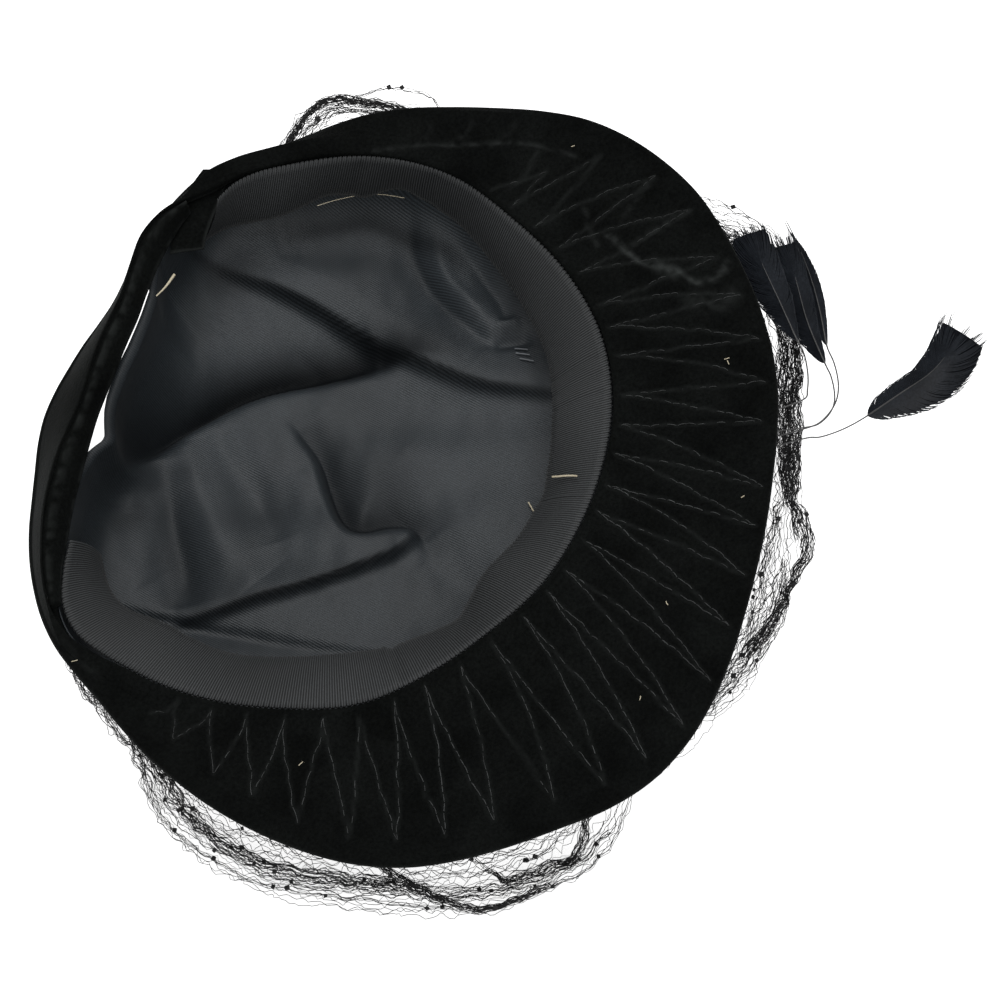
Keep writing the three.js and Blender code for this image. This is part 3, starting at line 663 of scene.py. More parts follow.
def brimSkin(angles):
    # points of the upper face with its puffs, grooves and marks, and how light the pile is
    shares = np.tile(np.linspace(0, 1, brim["across"]), len(angles))
    top = brimTop(np.repeat(angles, brim["across"]), shares)
    gap = nearestDistance(top, stitchLine)
    fade = np.clip(np.minimum(shares / 0.05, (1 - shares) / 0.06), 0, 1)
    dip = np.exp(-(gap / stitching["grooveWidth"]) ** 2)
    puff = 1 - np.exp(-(gap / brim["puffWidth"]) ** 2)
    top[:, 2] += fade * (brim["puff"] * (puff - 0.6) - stitching["groove"] * dip)
    top[:, 2] += fade * brim["wave"] * noiseAt(top, brim["waveSize"], 5)
    light = brim["rowLight"] * np.exp(-(gap / brim["rowWidth"]) ** 2)
    patchy = np.clip(0.75 + 0.5 * noiseAt(top, brim["patchSize"], 14), 0.1, 1.3)
    for mark in pileMarks:
        near = np.exp(-(nearestDistance(top, markLine(mark)) / (mark["width"] * mm)) ** 2)
        top[:, 2] += fade * mark["height"] * mm * near
        light = light + mark["light"] * near * patchy
    return top, np.clip(light, 0, 1)


def brimRest(angles):
    # rows of points round the turned edge and back along the underside
    rows = roundTable(brimTable, angles)
    middle = (rows[:, 4] + rows[:, 6]) / 2
    half = (rows[:, 4, 1] - rows[:, 6, 1]) / 2
    reach = rows[:, 5, 0] - middle[:, 0]
    nose = [polarPoint(angles, middle[:, 0] + reach * math.cos(turn), middle[:, 1] - half * math.sin(turn))
            for turn in np.radians([-60, -30, 0, 30, 60])]
    return nose + [polarPoint(angles, rows[:, k, 0], rows[:, k, 1]) for k in range(6, 11)]


def makeBrim():
    around, across = brim["around"], brim["across"]
    angles = roundAngles(around)
    top, light = brimSkin(angles)
    grid = np.concatenate([top.reshape(around, across, 3), np.stack(brimRest(angles), 1)], 1)
    columns = grid.shape[1]
    points = grid.reshape(-1, 3)
    faces, _ = outward(points, gridFaces(around, columns, closeRows=True, closeColumns=True))
    piece = newPiece("stitched_brim", points, faces, velvet, "velvet", ["brim"])
    pressed_pile_and_sheen = np.zeros((around, columns))
    pressed_pile_and_sheen[:, :across] = light.reshape(around, across)
    setAttribute(piece, "pressed_pile_and_sheen", pressed_pile_and_sheen.ravel())
    return piece


stitchedBrim = makeBrim()
print("brim ready")


# Head ribbon with its ribs and looped edges

ribbon = {
    "start": 151.0,
    "end": 425.4,
    "endSlant": 5.4,         # degrees the end lies farther back at the inner edge
    "seamAngle": -66.0,
    "seamStep": 0.45 * mm,
    "seamEase": 0.35,        # degrees over which the step rises
    "seamReach": 14,         # degrees over which it dies away
    "creases": [(-124.5, 1.1, -0.9), (-126.5, 0.8, 0.6), (-66.5, 0.5, -0.4), (-34, 0.8, -0.6),
                (-38, 0.9, -0.5), (-42, 0.8, -0.6), (18, 1.6, -0.8), (33, 1.4, -0.8)],
    "ribPitch": 0.85 * mm,
    "ribDepth": 0.24 * mm,
    "samplesPerRib": 6,
    "across": 10,
    "thickness": 0.7 * mm,
    "curl": 1.4 * mm,
    "loop": 0.45 * mm,
    "grooveShade": 0.95,      # painted shade in the grooves between ribs
}
# Bends of the inner edge: angle, spread in degrees, drop in millimetres
ribbonWaves = [
    (39, 5.0, -2.2), (31, 4.0, 2.4), (24, 4.0, -2.6), (52, 6.0, 1.2), (66, 5.0, -1.5), (-40, 8.0, 0.8),
    (-64, 5.0, -1.2), (-93, 5.0, 0.7), (-105, 3.5, -1.2), (-118, 6.0, 1.2), (-150, 9.0, -1.0),
    (176, 6.0, 1.2),
]


def ribbonFrame(angles):
    wrapped = (np.asarray(angles) + 180) % 360 - 180
    rows = roundTable(ribbonTable, wrapped)
    return rows[..., 0, :], rows[..., 1, :]


def bumps(angles, rows):
    # soft bumps, each with its middle, its spread in degrees and its height in millimetres
    total = np.zeros(len(angles))
    for middle, spread, height in rows:
        total += height * mm * np.exp(-(angleGap(angles, middle) / spread) ** 2)
    return total


def ribbonRun():
    # angles evenly spaced along the ribbon's edge, and how far along each one lies
    coarse = np.linspace(ribbon["start"], ribbon["end"], 1200)
    edge, _ = ribbonFrame(coarse)
    run = runAlong(polarPoint(coarse, edge[:, 0], edge[:, 1]))
    ribs = int(run[-1] / ribbon["ribPitch"])
    along = np.linspace(0, run[-1], ribs * ribbon["samplesPerRib"] + 1)
    return np.interp(along, run, coarse), along


def makeRibbon():
    angles, along = ribbonRun()
    edge, inner = ribbonFrame(angles)
    drop = bumps(angles, ribbonWaves)
    away = angleGap(angles, ribbon["seamAngle"])
    seam = np.clip(1 - away / ribbon["seamEase"], 0, 1) * np.clip(1 + away / ribbon["seamReach"], 0, 1)
    crease = bumps(angles, ribbon["creases"])
    crease += ribbon["seamStep"] * seam * (away > -ribbon["seamReach"])
    slope = inner - edge
    length = np.linalg.norm(slope, axis=1, keepdims=True)
    slope = slope / length
    square = np.stack([-slope[:, 1], slope[:, 0]], -1)
    square *= np.sign(square[:, 1:] - square[:, :1] + 1e-9)
    phase = along / ribbon["ribPitch"] * np.pi
    ridge = np.abs(np.sin(phase))
    rib = ribbon["ribDepth"] * (ridge - 0.5)
    loops = 0.5 + 0.5 * np.cos(phase)
    skin, under = [], []
    for share in np.linspace(0, 1, ribbon["across"]):
        curl = ribbon["curl"] * 4 * share * (1 - share)
        push = curl + drop * share ** 1.5 + crease * min(4 * share, 1) + rib
        reach = share * length[:, 0]
        if share == 0:
            reach = reach - ribbon["loop"] * loops
        if share == 1:
            reach = reach + ribbon["loop"] * loops
        slant = ribbon["endSlant"] * (1 - share) * (along / along[-1]) ** 8
        for face, out in ((skin, push), (under, push - rib * 2 - ribbon["thickness"])):
            spot = edge + slope * reach[:, None] + square * out[:, None]
            face.append(polarPoint(angles - slant, spot[:, 0], spot[:, 1]))
    grid = np.stack(skin + under[::-1], 1)
    piece = tubePiece("ribbed_ribbon", grid, grosgrain, "ribbon", ["head_ribbon"])
    # painted shade in the grooves between the ribs
    groove = ribbon["grooveShade"] * np.clip((0.9 - ridge) / 0.35, 0, 1)
    setAttribute(piece, "groove", np.repeat(groove, grid.shape[1]))


makeRibbon()
print("head ribbon ready")


# Lining

lining = {
    "around": 420,
    "across": 112,
    "thickness": 0.5 * mm,
    "fold": 10.5 * mm,
    "middleHeight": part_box("crown")[0][2] + 24.0 * mm,
    "inset": 3.0 * mm,       # from the crown's outer rim
    "lip": 3.2 * mm,         # turned over the crown's rim at the slit
    "headRadius": 91.0 * mm,
    "shadedEdge": 0.12,        # share of the way in over which the turned edge lies in painted shade
    # how dark the painted shade on the turned edge is
    "edgeShade": 0.35,
    "edgeLift": 0.3 * mm,    # of the turned edge over the crown's rim
    # size and height of the small unevenness
    "crumples": [(30 * mm, 0.8 * mm), (11 * mm, 0.16 * mm)],
    "fullness": 0.80,        # area once draped over area laid flat
}
# How the cloth hangs from its rim: reach, share of the way down, share of the folds
liningHang = [
    (1.00, 0.00, 0.00), (1.00, 0.34, 0.05), (0.985, 0.60, 0.15), (0.93, 0.80, 0.45), (0.84, 0.91, 0.80),
    (0.73, 0.95, 1.00), (0.62, 0.98, 1.00), (0.40, 1.00, 1.00), (0.20, 1.00, 1.00), (0.0, 1.00, 1.00),
]
# Folds as points along each line in shares of the head radius, the spread of each flank, up the
# back right side and down the front left one, and the height
liningFolds = [
    {"line": [(0.36, 1.00), (0.392, 0.934), (0.437, 0.805), (0.491, 0.659), (0.526, 0.499),
              (0.539, 0.347), (0.552, 0.194), (0.578, 0.076), (0.604, -0.042), (0.655, -0.209),
              (0.751, -0.387), (0.82, -0.50)],
     "above": 0.17, "below": 0.021, "height": 0.52},
    {"line": [(0.47, 0.90), (0.60, 0.66), (0.655, 0.38), (0.68, 0.08), (0.76, -0.16)],
     "above": 0.20, "below": 0.10, "height": 0.30},
    {"line": [(-0.52, 0.66), (-0.478, 0.62), (-0.315, 0.615), (-0.16, 0.591), (-0.02, 0.553),
              (0.111, 0.496), (0.233, 0.407), (0.368, 0.282), (0.509, 0.161)],
     "above": 0.125, "below": 0.030, "height": -1.15},
    {"line": [(0.20, 0.42), (0.37, 0.145), (0.481, -0.045), (0.577, -0.222)],
     "above": 0.06, "below": 0.10, "height": -0.14},
    {"line": [(0.122, 0.249), (0.075, 0.098), (-0.013, -0.029), (-0.061, -0.112), (-0.058, -0.189),
              (0.025, -0.26), (0.067, -0.329), (0.04, -0.40)],
     "above": 0.085, "below": 0.022, "height": -0.58},
    {"line": [(0.03, 0.12), (-0.07, -0.06), (-0.12, -0.15), (-0.07, -0.24), (-0.01, -0.32)],
     "above": 0.035, "below": 0.20, "height": 0.18},
    {"line": [(0.06, -0.36), (-0.03, -0.35), (-0.109, -0.319), (-0.24, -0.241), (-0.381, -0.149),
              (-0.514, -0.051), (-0.633, 0.034), (-0.74, 0.115)],
     "above": 0.16, "below": 0.019, "height": 0.46},
    {"line": [(-0.164, 0.53), (-0.299, 0.35), (-0.411, 0.145), (-0.441, -0.038)],
     "above": 0.10, "below": 0.09, "height": 0.30},
    {"line": [(-0.27, 0.55), (-0.449, 0.355), (-0.577, 0.205), (-0.669, 0.107)],
     "above": 0.08, "below": 0.09, "height": -0.42},
    {"line": [(-0.079, 0.482), (-0.137, 0.331), (-0.20, 0.154), (-0.289, 0.015)],
     "above": 0.08, "below": 0.08, "height": -0.26},
    {"line": [(1.06, 0.44), (0.95, 0.36), (0.87, 0.25), (0.82, 0.10), (0.80, -0.04), (0.795, -0.14)],
     "above": 0.03, "below": 0.09, "height": -0.42},
    {"line": [(1.06, 0.34), (0.93, 0.20), (0.885, 0.06), (0.865, -0.06)],
     "above": 0.05, "below": 0.035, "height": 0.30},
    {"line": [(1.05, 0.24), (1.0, 0.08), (0.95, -0.05), (0.90, -0.14)],
     "above": 0.05, "below": 0.03, "height": -0.30},
    {"line": [(-0.86, 0.36), (-0.817, 0.272), (-0.729, 0.093), (-0.617, -0.134), (-0.506, -0.36),
              (-0.359, -0.602)],
     "above": 0.018, "below": 0.05, "height": -0.22},
    {"line": [(-0.01, -0.42), (-0.01, -0.578), (0.024, -0.70)],
     "above": 0.09, "below": 0.09, "height": -0.24},
    {"line": [(0.30, -0.10), (0.33, -0.36), (0.30, -0.62)], "above": 0.16, "below": 0.16, "height": 0.12},
    {"line": [(-0.60, 0.69), (-0.54, 0.60), (-0.465, 0.53)],
     "above": 0.022, "below": 0.035, "height": -0.24},
    {"line": [(-0.63, 0.64), (-0.58, 0.57), (-0.507, 0.50)],
     "above": 0.02, "below": 0.03, "height": -0.20},
    {"line": [(-0.72, 0.55), (-0.68, 0.40), (-0.70, 0.28)], "above": 0.08, "below": 0.08, "height": 0.20},
    {"line": [(0.70, 0.80), (0.608, 0.682)], "above": 0.016, "below": 0.016, "height": -0.10},
    {"line": [(0.74, 0.77), (0.63, 0.642)], "above": 0.014, "below": 0.02, "height": -0.10},
    {"line": [(0.273, 0.767), (0.307, 0.688)], "above": 0.014, "below": 0.014, "height": -0.07},
    {"line": [(0.24, 0.75), (0.265, 0.66)], "above": 0.012, "below": 0.012, "height": -0.05},
    {"line": [(0.362, 0.463), (0.357, 0.319)], "above": 0.02, "below": 0.03, "height": -0.10},
    {"line": [(0.80, -0.14), (0.86, -0.20), (0.90, -0.24)],
     "above": 0.03, "below": 0.02, "height": -0.34},
    {"line": [(0.86, -0.10), (0.93, -0.16)], "above": 0.02, "below": 0.03, "height": 0.26},
]


# Painted shade in the deep sides of folds and under the ribbon's edge, where the cloth's gloss is turned down
# too: the line, its spread on either side, the depth
liningShadows = [
    {"line": [*liningFolds[2]["line"][1:], (0.60, 0.07)], "above": 0.10, "below": 0.030, "depth": 0.86},
    {"line": [*liningFolds[2]["line"][4:], (0.60, 0.07), (0.68, -0.02)],
     "above": 0.08, "below": 0.030, "depth": 0.75},
    {"line": [(0.66, 0.74), (0.75, 0.67), (0.84, 0.59), (0.913, 0.509), (0.955, 0.358), (0.986, 0.222),
              (0.96, 0.12)],
     "above": 0.045, "below": 0.035, "depth": 0.60},
    {"line": liningFolds[0]["line"], "above": 0.012, "below": 0.034, "depth": 0.82},
    {"line": liningFolds[6]["line"], "above": 0.012, "below": 0.022, "depth": 0.90},
    {"line": liningFolds[4]["line"], "above": 0.10, "below": 0.014, "depth": 0.75},
    {"line": [(0.25, 0.80), (0.05, 0.74), (-0.12, 0.70), (-0.285, 0.64), (-0.42, 0.58), (-0.55, 0.57),
              (-0.68, 0.50)], "above": 0.07, "below": 0.07, "depth": 0.35},
    {"line": [(0.34, 0.86), (0.44, 0.80), (0.56, 0.74)], "above": 0.07, "below": 0.07, "depth": 0.45},
    {"line": [(0.95, 0.36), (0.87, 0.25), (0.82, 0.10), (0.80, -0.04)],
     "above": 0.05, "below": 0.03, "depth": 0.35},
    {"line": liningFolds[8]["line"], "above": 0.07, "below": 0.07, "depth": 0.35},
    {"line": [(0.22, -0.03), (0.14, -0.16), (0.12, -0.28)], "above": 0.11, "below": 0.11, "depth": 0.30},
    {"line": [(-0.62, 0.50), (-0.52, 0.48), (-0.44, 0.47)], "above": 0.05, "below": 0.05, "depth": 0.40},
]


def besideLine(flat, points):
    # distance to a smooth line, which side of it, and how far along
    line = curveThrough(points, 36)
    best = np.full(len(flat), 9.0)
    side = np.zeros(len(flat))
    at = np.zeros(len(flat))
    for k, (start, end) in enumerate(zip(line[:-1], line[1:])):
        run = end - start
        t = np.clip(((flat - start) @ run) / max(run @ run, 1e-12), 0, 1)
        off = flat - start - t[:, None] * run
        gap = np.linalg.norm(off, axis=1)
        nearer = gap < best
        best[nearer] = gap[nearer]
        turn = (run[0] * off[:, 1] - run[1] * off[:, 0]) / np.maximum(gap * np.linalg.norm(run), 1e-9)
        side[nearer] = turn[nearer]
        at[nearer] = (k + t[nearer]) / (len(line) - 1)
    if (line[-1] - line[0]) @ [0.6, -0.8] < 0:
        side = -side
    return best, side, at


def spreadAlong(flat, row, power):
    # 1 on the line, falling to 0 over its spread and towards its ends
    best, side, at = besideLine(flat, row["line"])
    width = row["below"] + (row["above"] - row["below"]) * (0.5 + 0.5 * side)
    taper = np.sin(np.clip(at, 0.01, 0.99) * np.pi) ** 0.4
    return taper * np.exp(-(best / width) ** power)


def foldHeights(points):
    flat = points[:, :2] / lining["headRadius"]
    return lining["fold"] * sum(fold["height"] * spreadAlong(flat, fold, 1.6) for fold in liningFolds)


def foldShade(points):
    # painted shade of the folds, from 0 where lit to 1 at its darkest
    flat = points[:, :2] / lining["headRadius"]
    lit = np.ones(len(flat))
    for row in liningShadows:
        lit *= 1 - row["depth"] * spreadAlong(flat, row, 2.0)
    return 1 - lit


def hangingCloth(angles, rim, lip, shares):
    # the lining's smooth shape before its folds, and how loose it is from rim to middle
    hang = np.array(liningHang)
    profile = openTable(np.linspace(0, 1, len(hang)), hang, shares)
    profile[-1] = hang[-1]
    columns = []
    for k, (reach, depth, _) in enumerate(profile):
        radius = rim[:, 0] * max(reach, 0.004) + (lining["lip"] * lip if k == 0 else 0)
        height = rim[:, 1] - (rim[:, 1] - lining["middleHeight"]) * depth
        columns.append(polarPoint(angles, radius, height))
    return np.stack(columns, 1), profile[:, 2]


def makeLining():
    around, across = lining["around"], lining["across"]
    angles = roundAngles(around)
    rim, lip = rimAt(angles)
    rim[:, 0] -= lining["inset"]
    rim[:, 1] += lining["edgeLift"] * lip
    shares = np.linspace(0, 1, across) ** 0.9
    grid, loose = hangingCloth(angles, rim, lip, shares)
    flat = grid.reshape(-1, 3)
    loose = np.tile(loose, around)
    lift = foldHeights(flat) * loose
    # painted shade of the folds and of the turned edge at the slit
    shade = foldShade(flat).reshape(around, across)
    nearRim = np.clip(1 - shares / lining["shadedEdge"], 0, 1) ** 0.5
    shade = np.maximum(shade, lining["edgeShade"] * lip[:, None] * nearRim)
    crumple = sum(noiseAt(flat * [1, 1, 0.3], size, 8 + k) * height
                  for k, (size, height) in enumerate(lining["crumples"]))
    flat[:, 2] += lift + crumple * np.clip(loose * 2, 0, 1)
    normal = surfaceNormals(grid, True)
    normal *= np.sign(normal[:, across // 2:, 2].mean())
    back = grid - normal * lining["thickness"]
    centres = [grid[:, -1].mean(0), back[:, -1].mean(0)]
    piece = cupPiece("draped_lining", np.concatenate([grid[:, ::-1], back], 1), centres, twill,
                     "lining", ["lining_side", "lining_tip"])
    setAttribute(piece, "shade", np.r_[np.concatenate([shade[:, ::-1], shade], 1).ravel(), 0, 0])
    layer = piece.data.uv_layers.new(name="cloth")
    corner = np.empty(len(piece.data.loops), int)
    piece.data.loops.foreach_get("vertex_index", corner)
    layer.data.foreach_set("uv", vertexPoints(piece.data)[corner, :2].ravel())
    return piece


drapedLining = makeLining()
print("lining ready")


# Crown

crown = {
    "around": 360,
    "rows": 36,
    "tipRings": 8,
    "tipRadius": 54 * mm,
    "wall": 2.2 * mm,
    "dent": 0.9 * mm,
    "dentSize": 38 * mm,
    "dentLimit": 0.4 * mm,
    "dentFrom": 14 * mm,     # heights between which the dents are whole
    "dentTo": 48 * mm,
    "rimBead": 0.35 * mm,
    "rimThinning": 0.45,     # share of the wall that is missing under the strap
    "tuck": 2.0 * mm,        # how far the rim sits below the lining's turned edge
    # angle, and millimetres that the rim rises to meet the strap's end and the brim
    "raised": [(142, 0), (148, 2.4), (162, 2.3), (165, 1.6), (168, 1.1), (172, 0.5), (177, 0)],
    # reach from the tip's edge, 0, to the rim, 1, and share of the height
    "profile": [(0.0, 0.0), (0.33, 0.022), (0.64, 0.10), (0.85, 0.24), (0.955, 0.42), (0.995, 0.62),
                (1.0, 0.80), (1.0, 1.0)],
}


def crownSkin(angles, rim):
    # the outer face from the tip's middle to the rim
    profile = np.array(crown["profile"])
    keys = runAlong(profile * [0.6, 1])
    rows = openTable(keys, profile, np.linspace(0, keys[-1], crown["rows"]))
    outer = [polarPoint(angles, crown["tipRadius"] * share + 0 * angles, 0 * angles)
             for share in np.linspace(0.05, 1, crown["tipRings"])[:-1]]
    for reach, height in rows:
        radius = crown["tipRadius"] + (rim[:, 0] - crown["tipRadius"]) * reach
        outer.append(polarPoint(angles, radius, rim[:, 1] * height))
    return np.stack(outer, 1)


def crownNormals(angles, outer):
    # outward and smooth: straight down under the tip, level from half the height on
    normal = surfaceNormals(outer, True)
    normal *= np.sign((normal[:, -4] * outer[:, -4]).sum())
    normal[:, :crown["tipRings"]] = [0, 0, -1]
    level = polarPoint(angles, np.ones(len(angles)), 0)[:, None]
    upright = np.clip((outer[:, :, 2:] - 28 * mm) / (14 * mm), 0, 1)
    return normal * (1 - upright) + level * upright


def makeCrown():
    angles = roundAngles(crown["around"])
    rim, covered = rimAt(angles)
    rim[:, 1] -= crown["tuck"] * covered
    raised = np.array(crown["raised"], float)
    rim[:, 1] += np.interp(angles, raised[:, 0], raised[:, 1]) * mm
    outer = crownSkin(angles, rim)
    normal = crownNormals(angles, outer)
    flat = outer.reshape(-1, 3)
    fade = np.clip(flat[:, 2] / crown["dentFrom"], 0, 1)
    fade = fade * np.clip((crown["dentTo"] + 10 * mm - flat[:, 2]) / (10 * mm), 0, 1)
    dent = noiseAt(flat, crown["dentSize"], 31) * crown["dent"] * fade
    dent = np.clip(dent, -crown["dentLimit"], crown["dentLimit"])
    outer = (flat + normal.reshape(-1, 3) * dent[:, None]).reshape(outer.shape)
    inner = outer - normal * (crown["wall"] * (1 - crown["rimThinning"] * covered))[:, None, None]
    inner[:, -1, 2] = outer[:, -1, 2]
    bead = (outer[:, -1] + inner[:, -1]) / 2 + [0, 0, crown["rimBead"]]
    grid = np.concatenate([outer, bead[:, None], inner[:, ::-1]], 1)
    cupPiece("soft_crown", grid, [[0, 0, 0], [0, 0, crown["wall"]]], velvet, "velvet", ["crown"])


makeCrown()


# Strap across the back, a padded velvet roll

strap = {
    "along": 260,
    "around": 26,
    "overlap": 0.45 * mm,    # onto the brim
    "pad": 0.5 * mm,
    "lump": 0.35 * mm,
    "lumpSize": 16 * mm,
    "ridgeSheen": 0.50,            # painted sheen along the ridge
    "ridgeSheenSize": 5 * mm,
}


def makeStrap():
    angles = np.linspace(strapAngles[0], strapAngles[-1], strap["along"])
    rows = openTable(strapAngles, strapTable, angles)
    inner, middle, outer = rows[:, 0], rows[:, 1], rows[:, 2]
    turns = np.linspace(0, 2 * np.pi, strap["around"], endpoint=False)
    loop = []
    for turn in turns:
        across = math.copysign(abs(math.cos(turn)) ** 0.7, math.cos(turn))
        up = math.copysign(abs(math.sin(turn)) ** 0.8, math.sin(turn))
        share = 0.5 + 0.5 * across
        low = inner[:, 0, 1] + (outer[:, 0, 1] - inner[:, 0, 1]) * share
        bulge = 4 * share * (1 - share)
        top = (inner[:, 1, 1] + (outer[:, 1, 1] - inner[:, 1, 1]) * share
               + bulge * (middle[:, 1, 1] - (inner[:, 1, 1] + outer[:, 1, 1]) / 2 + strap["pad"]))
        radius = inner[:, 0, 0] + (outer[:, 0, 0] + strap["overlap"] - inner[:, 0, 0]) * share
        loop.append(polarPoint(angles, radius, (top + low) / 2 + up * (top - low) / 2))
    grid = np.stack(loop, 1)
    flat = grid.reshape(-1, 3)
    flat[:, 2] += strap["lump"] * noiseAt(flat, strap["lumpSize"], 33)
    piece = tubePiece("velvet_strap", grid, velvet, "velvet", ["back_strap"])
    # painted sheen: lighter pile along the upper ridges of the roll, in patches
    across = np.cos(turns)
    ridge = np.exp(-((across - 0.25) / 0.18) ** 2) + 0.7 * np.exp(-((across + 0.95) / 0.12) ** 2)
    ridge = ridge * (np.sin(turns) > 0.1)
    ridgeSheen = np.clip(0.55 + 0.6 * noiseAt(flat, strap["ridgeSheenSize"], 34), 0, 1).reshape(grid.shape[:2])
    setAttribute(piece, "pressed_pile_and_sheen", (strap["ridgeSheen"] * ridge * ridgeSheen).ravel())


makeStrap()


# Velvet turned in between the end of the ribbon and the strap

turning = {
    "inner": [(59.4, 84.8), (51.0, 82.1), (45.7, 80.3), (36.6, 77.0), (30.9, 74.0)],
    "outer": [(53.0, 92.0), (48.0, 91.6), (44.0, 91.0), (33.0, 87.6), (22.6, 81.2)],
    "height": 62.5 * mm,
    "sag": 1.2 * mm,
    "thickness": 0.9 * mm,
    "lump": 0.25 * mm,
    "lumpSize": 6 * mm,
    "edgeLight": 0.45,
    "rows": 40,
    "columns": 12,
}


def makeTurning():
    rows, columns = turning["rows"], turning["columns"]
    inner, outer = (curveThrough(turning[edge], rows) * mm for edge in ("inner", "outer"))
    share = np.linspace(0, 1, columns)
    plan = inner[:, None] + (outer - inner)[:, None] * share[None, :, None]
    height = turning["height"] - turning["sag"] * (1 - share)[None, :] ** 2 * np.ones((rows, 1))
    upper = np.concatenate([plan, height[:, :, None]], 2)
    uneven = noiseAt(upper.reshape(-1, 3), turning["lumpSize"], 35).reshape(rows, columns)
    upper[:, :, 2] += turning["lump"] * uneven
    grid = np.concatenate([upper, (upper - [0, 0, turning["thickness"]])[:, ::-1]], 1)
    piece = tubePiece("velvet_turning", grid, velvet, "velvet")
    light = np.zeros(grid.shape[:2])
    light[:, 0] = light[:, -1] = light[-1] = turning["edgeLight"]
    setAttribute(piece, "pressed_pile_and_sheen", light.ravel())


makeTurning()


# Knot of the quills, the frame's own form rounded

def makeKnot():
    piece = addObject("quill_knot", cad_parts["feather_knot"].data.copy())
    weld = piece.modifiers.new("weld", "WELD")
    weld.merge_threshold = 0.00001
    smooth = piece.modifiers.new("smooth", "SUBSURF")
    smooth.levels = smooth.render_levels = 2
    bakeModifiers(piece)
    piece.data.materials.clear()
    piece.data.materials.append(velvet)
    piece.data.polygons.foreach_set("use_smooth", [True] * len(piece.data.polygons))
    finishPiece(piece, ["feather_knot"])


makeKnot()
print("crown, strap and knot ready")


# Strands: edges become thin tubes

def endTree(tree, into, out, last):
    # instances made real, with their finish
    real = addNode(tree, "GeometryNodeRealizeInstances", (3, 0))
    paint = addNode(tree, "GeometryNodeSetMaterial", (4, 0))
    link = tree.links.new
    link(last, real.inputs["Geometry"])
    link(real.outputs["Geometry"], paint.inputs["Geometry"])
    link(into.outputs["Finish"], paint.inputs["Material"])
    link(paint.outputs["Geometry"], out.inputs["Geometry"])
    return tree


def applyTree(piece, tree, values):
    # values go by the names of the tree's inputs
    modifier = piece.modifiers.new(tree.name, "NODES")
    modifier.node_group = tree
    for socket in tree.interface.items_tree:
        if socket.in_out == "INPUT" and socket.name in values:
            modifier[socket.identifier] = values[socket.name]
    bakeModifiers(piece)


def makeStrandTree():
    tree, into, out = newGroup(
        "strandTubes", "GeometryNodeTree",
        [("Geometry", "NodeSocketGeometry", None), ("Sides", "NodeSocketInt", 3),
         ("Radius", "NodeSocketFloat", 0.0001), ("Finish", "NodeSocketMaterial", None)],
        [("Geometry", "NodeSocketGeometry")])
    curve = addNode(tree, "GeometryNodeMeshToCurve", (1, 0))
    circle = addNode(tree, "GeometryNodeCurvePrimitiveCircle", (1, 1))
    thick = addNode(tree, "GeometryNodeInputNamedAttribute", (1, 2), {"Name": "thick"}, data_type="FLOAT")
    tube = addNode(tree, "GeometryNodeCurveToMesh", (2, 0), {"Fill Caps": True})
    link = tree.links.new
    link(into.outputs["Geometry"], curve.inputs["Mesh"])
    link(into.outputs["Sides"], circle.inputs["Resolution"])
    link(into.outputs["Radius"], circle.inputs["Radius"])
    link(curve.outputs["Curve"], tube.inputs["Curve"])
    link(circle.outputs["Curve"], tube.inputs["Profile Curve"])
    link(thick.outputs["Attribute"], tube.inputs["Scale"])
    return endTree(tree, into, out, tube.outputs["Mesh"])


strandTree = makeStrandTree()


def makeStrands(name, strands, radius, material, nodes=(), sides=3):
    # strands is a list of (points, thickness shares)
    edges, start = [], 0
    for strand, _ in strands:
        edges += [(k, k + 1) for k in range(start, start + len(strand) - 1)]
        start += len(strand)
    mesh = bpy.data.meshes.new(name)
    mesh.from_pydata([tuple(point) for strand, _ in strands for point in strand], edges, [])
    piece = addObject(name, mesh)
    thick = np.concatenate([np.broadcast_to(share, len(strand)) for strand, share in strands])
    setAttribute(piece, "thick", thick)
    applyTree(piece, strandTree, {"Sides": sides, "Radius": radius, "Finish": material})
    piece.data.polygons.foreach_set("use_smooth", [sides > 4] * len(piece.data.polygons))
    return finishPiece(piece, nodes)


# Stitches of the zigzag, each a short raised tube with its ends sunk in the velvet

def makeStitches():
    run = runAlong(stitchLine)
    draw = np.random.default_rng(21)
    strands = []
    place = 0.0
    pitch, length = stitching["pitch"], stitching["length"]
    while place + length < run[-1]:
        long = length * draw.uniform(0.75, 1.15)
        shown = np.interp(place, run, stitchShown)
        spots = pointsAt(np.linspace(place, place + long, 5), run, stitchLine)
        spots[:, 2] += np.array([-0.5, -0.05, 0.02, -0.05, -0.5]) * mm
        if draw.uniform() < 0.4 + 0.56 * shown:
            strands.append((spots, draw.uniform(0.7, 1.2) * (0.35 + 0.65 * shown)))
        place += pitch * draw.uniform(0.9, 1.1)
    makeStrands("brim_stitches", strands, stitching["width"] / 2, blackThread, sides=5)


makeStitches()
print("stitches ready")


# Loose threads, the stitch that holds the ribbon and specks of lint

def ribbonSpot(angle, share, lift):
    # a point over the ribbon, or past its inner edge where the share is over 1
    edge, inner = ribbonFrame(np.array([float(angle)]))
    row = edge + (inner - edge) * share
    row[:, 0] -= lift
    return polarPoint(np.array([float(angle)]), row[:, 0], row[:, 1] + lift)[0]


def layOn(piece, spots, lift):
    # drops points in plan onto a piece
    tree = BVHTree.FromObject(piece, bpy.context.evaluated_depsgraph_get())
    laid = []
    for x, y in spots:
        hit = tree.ray_cast(Vector((x * mm, y * mm, 0.2)), Vector((0, 0, -1)))[0]
        laid.append((x * mm, y * mm, hit.z + lift))
    return np.array(laid)


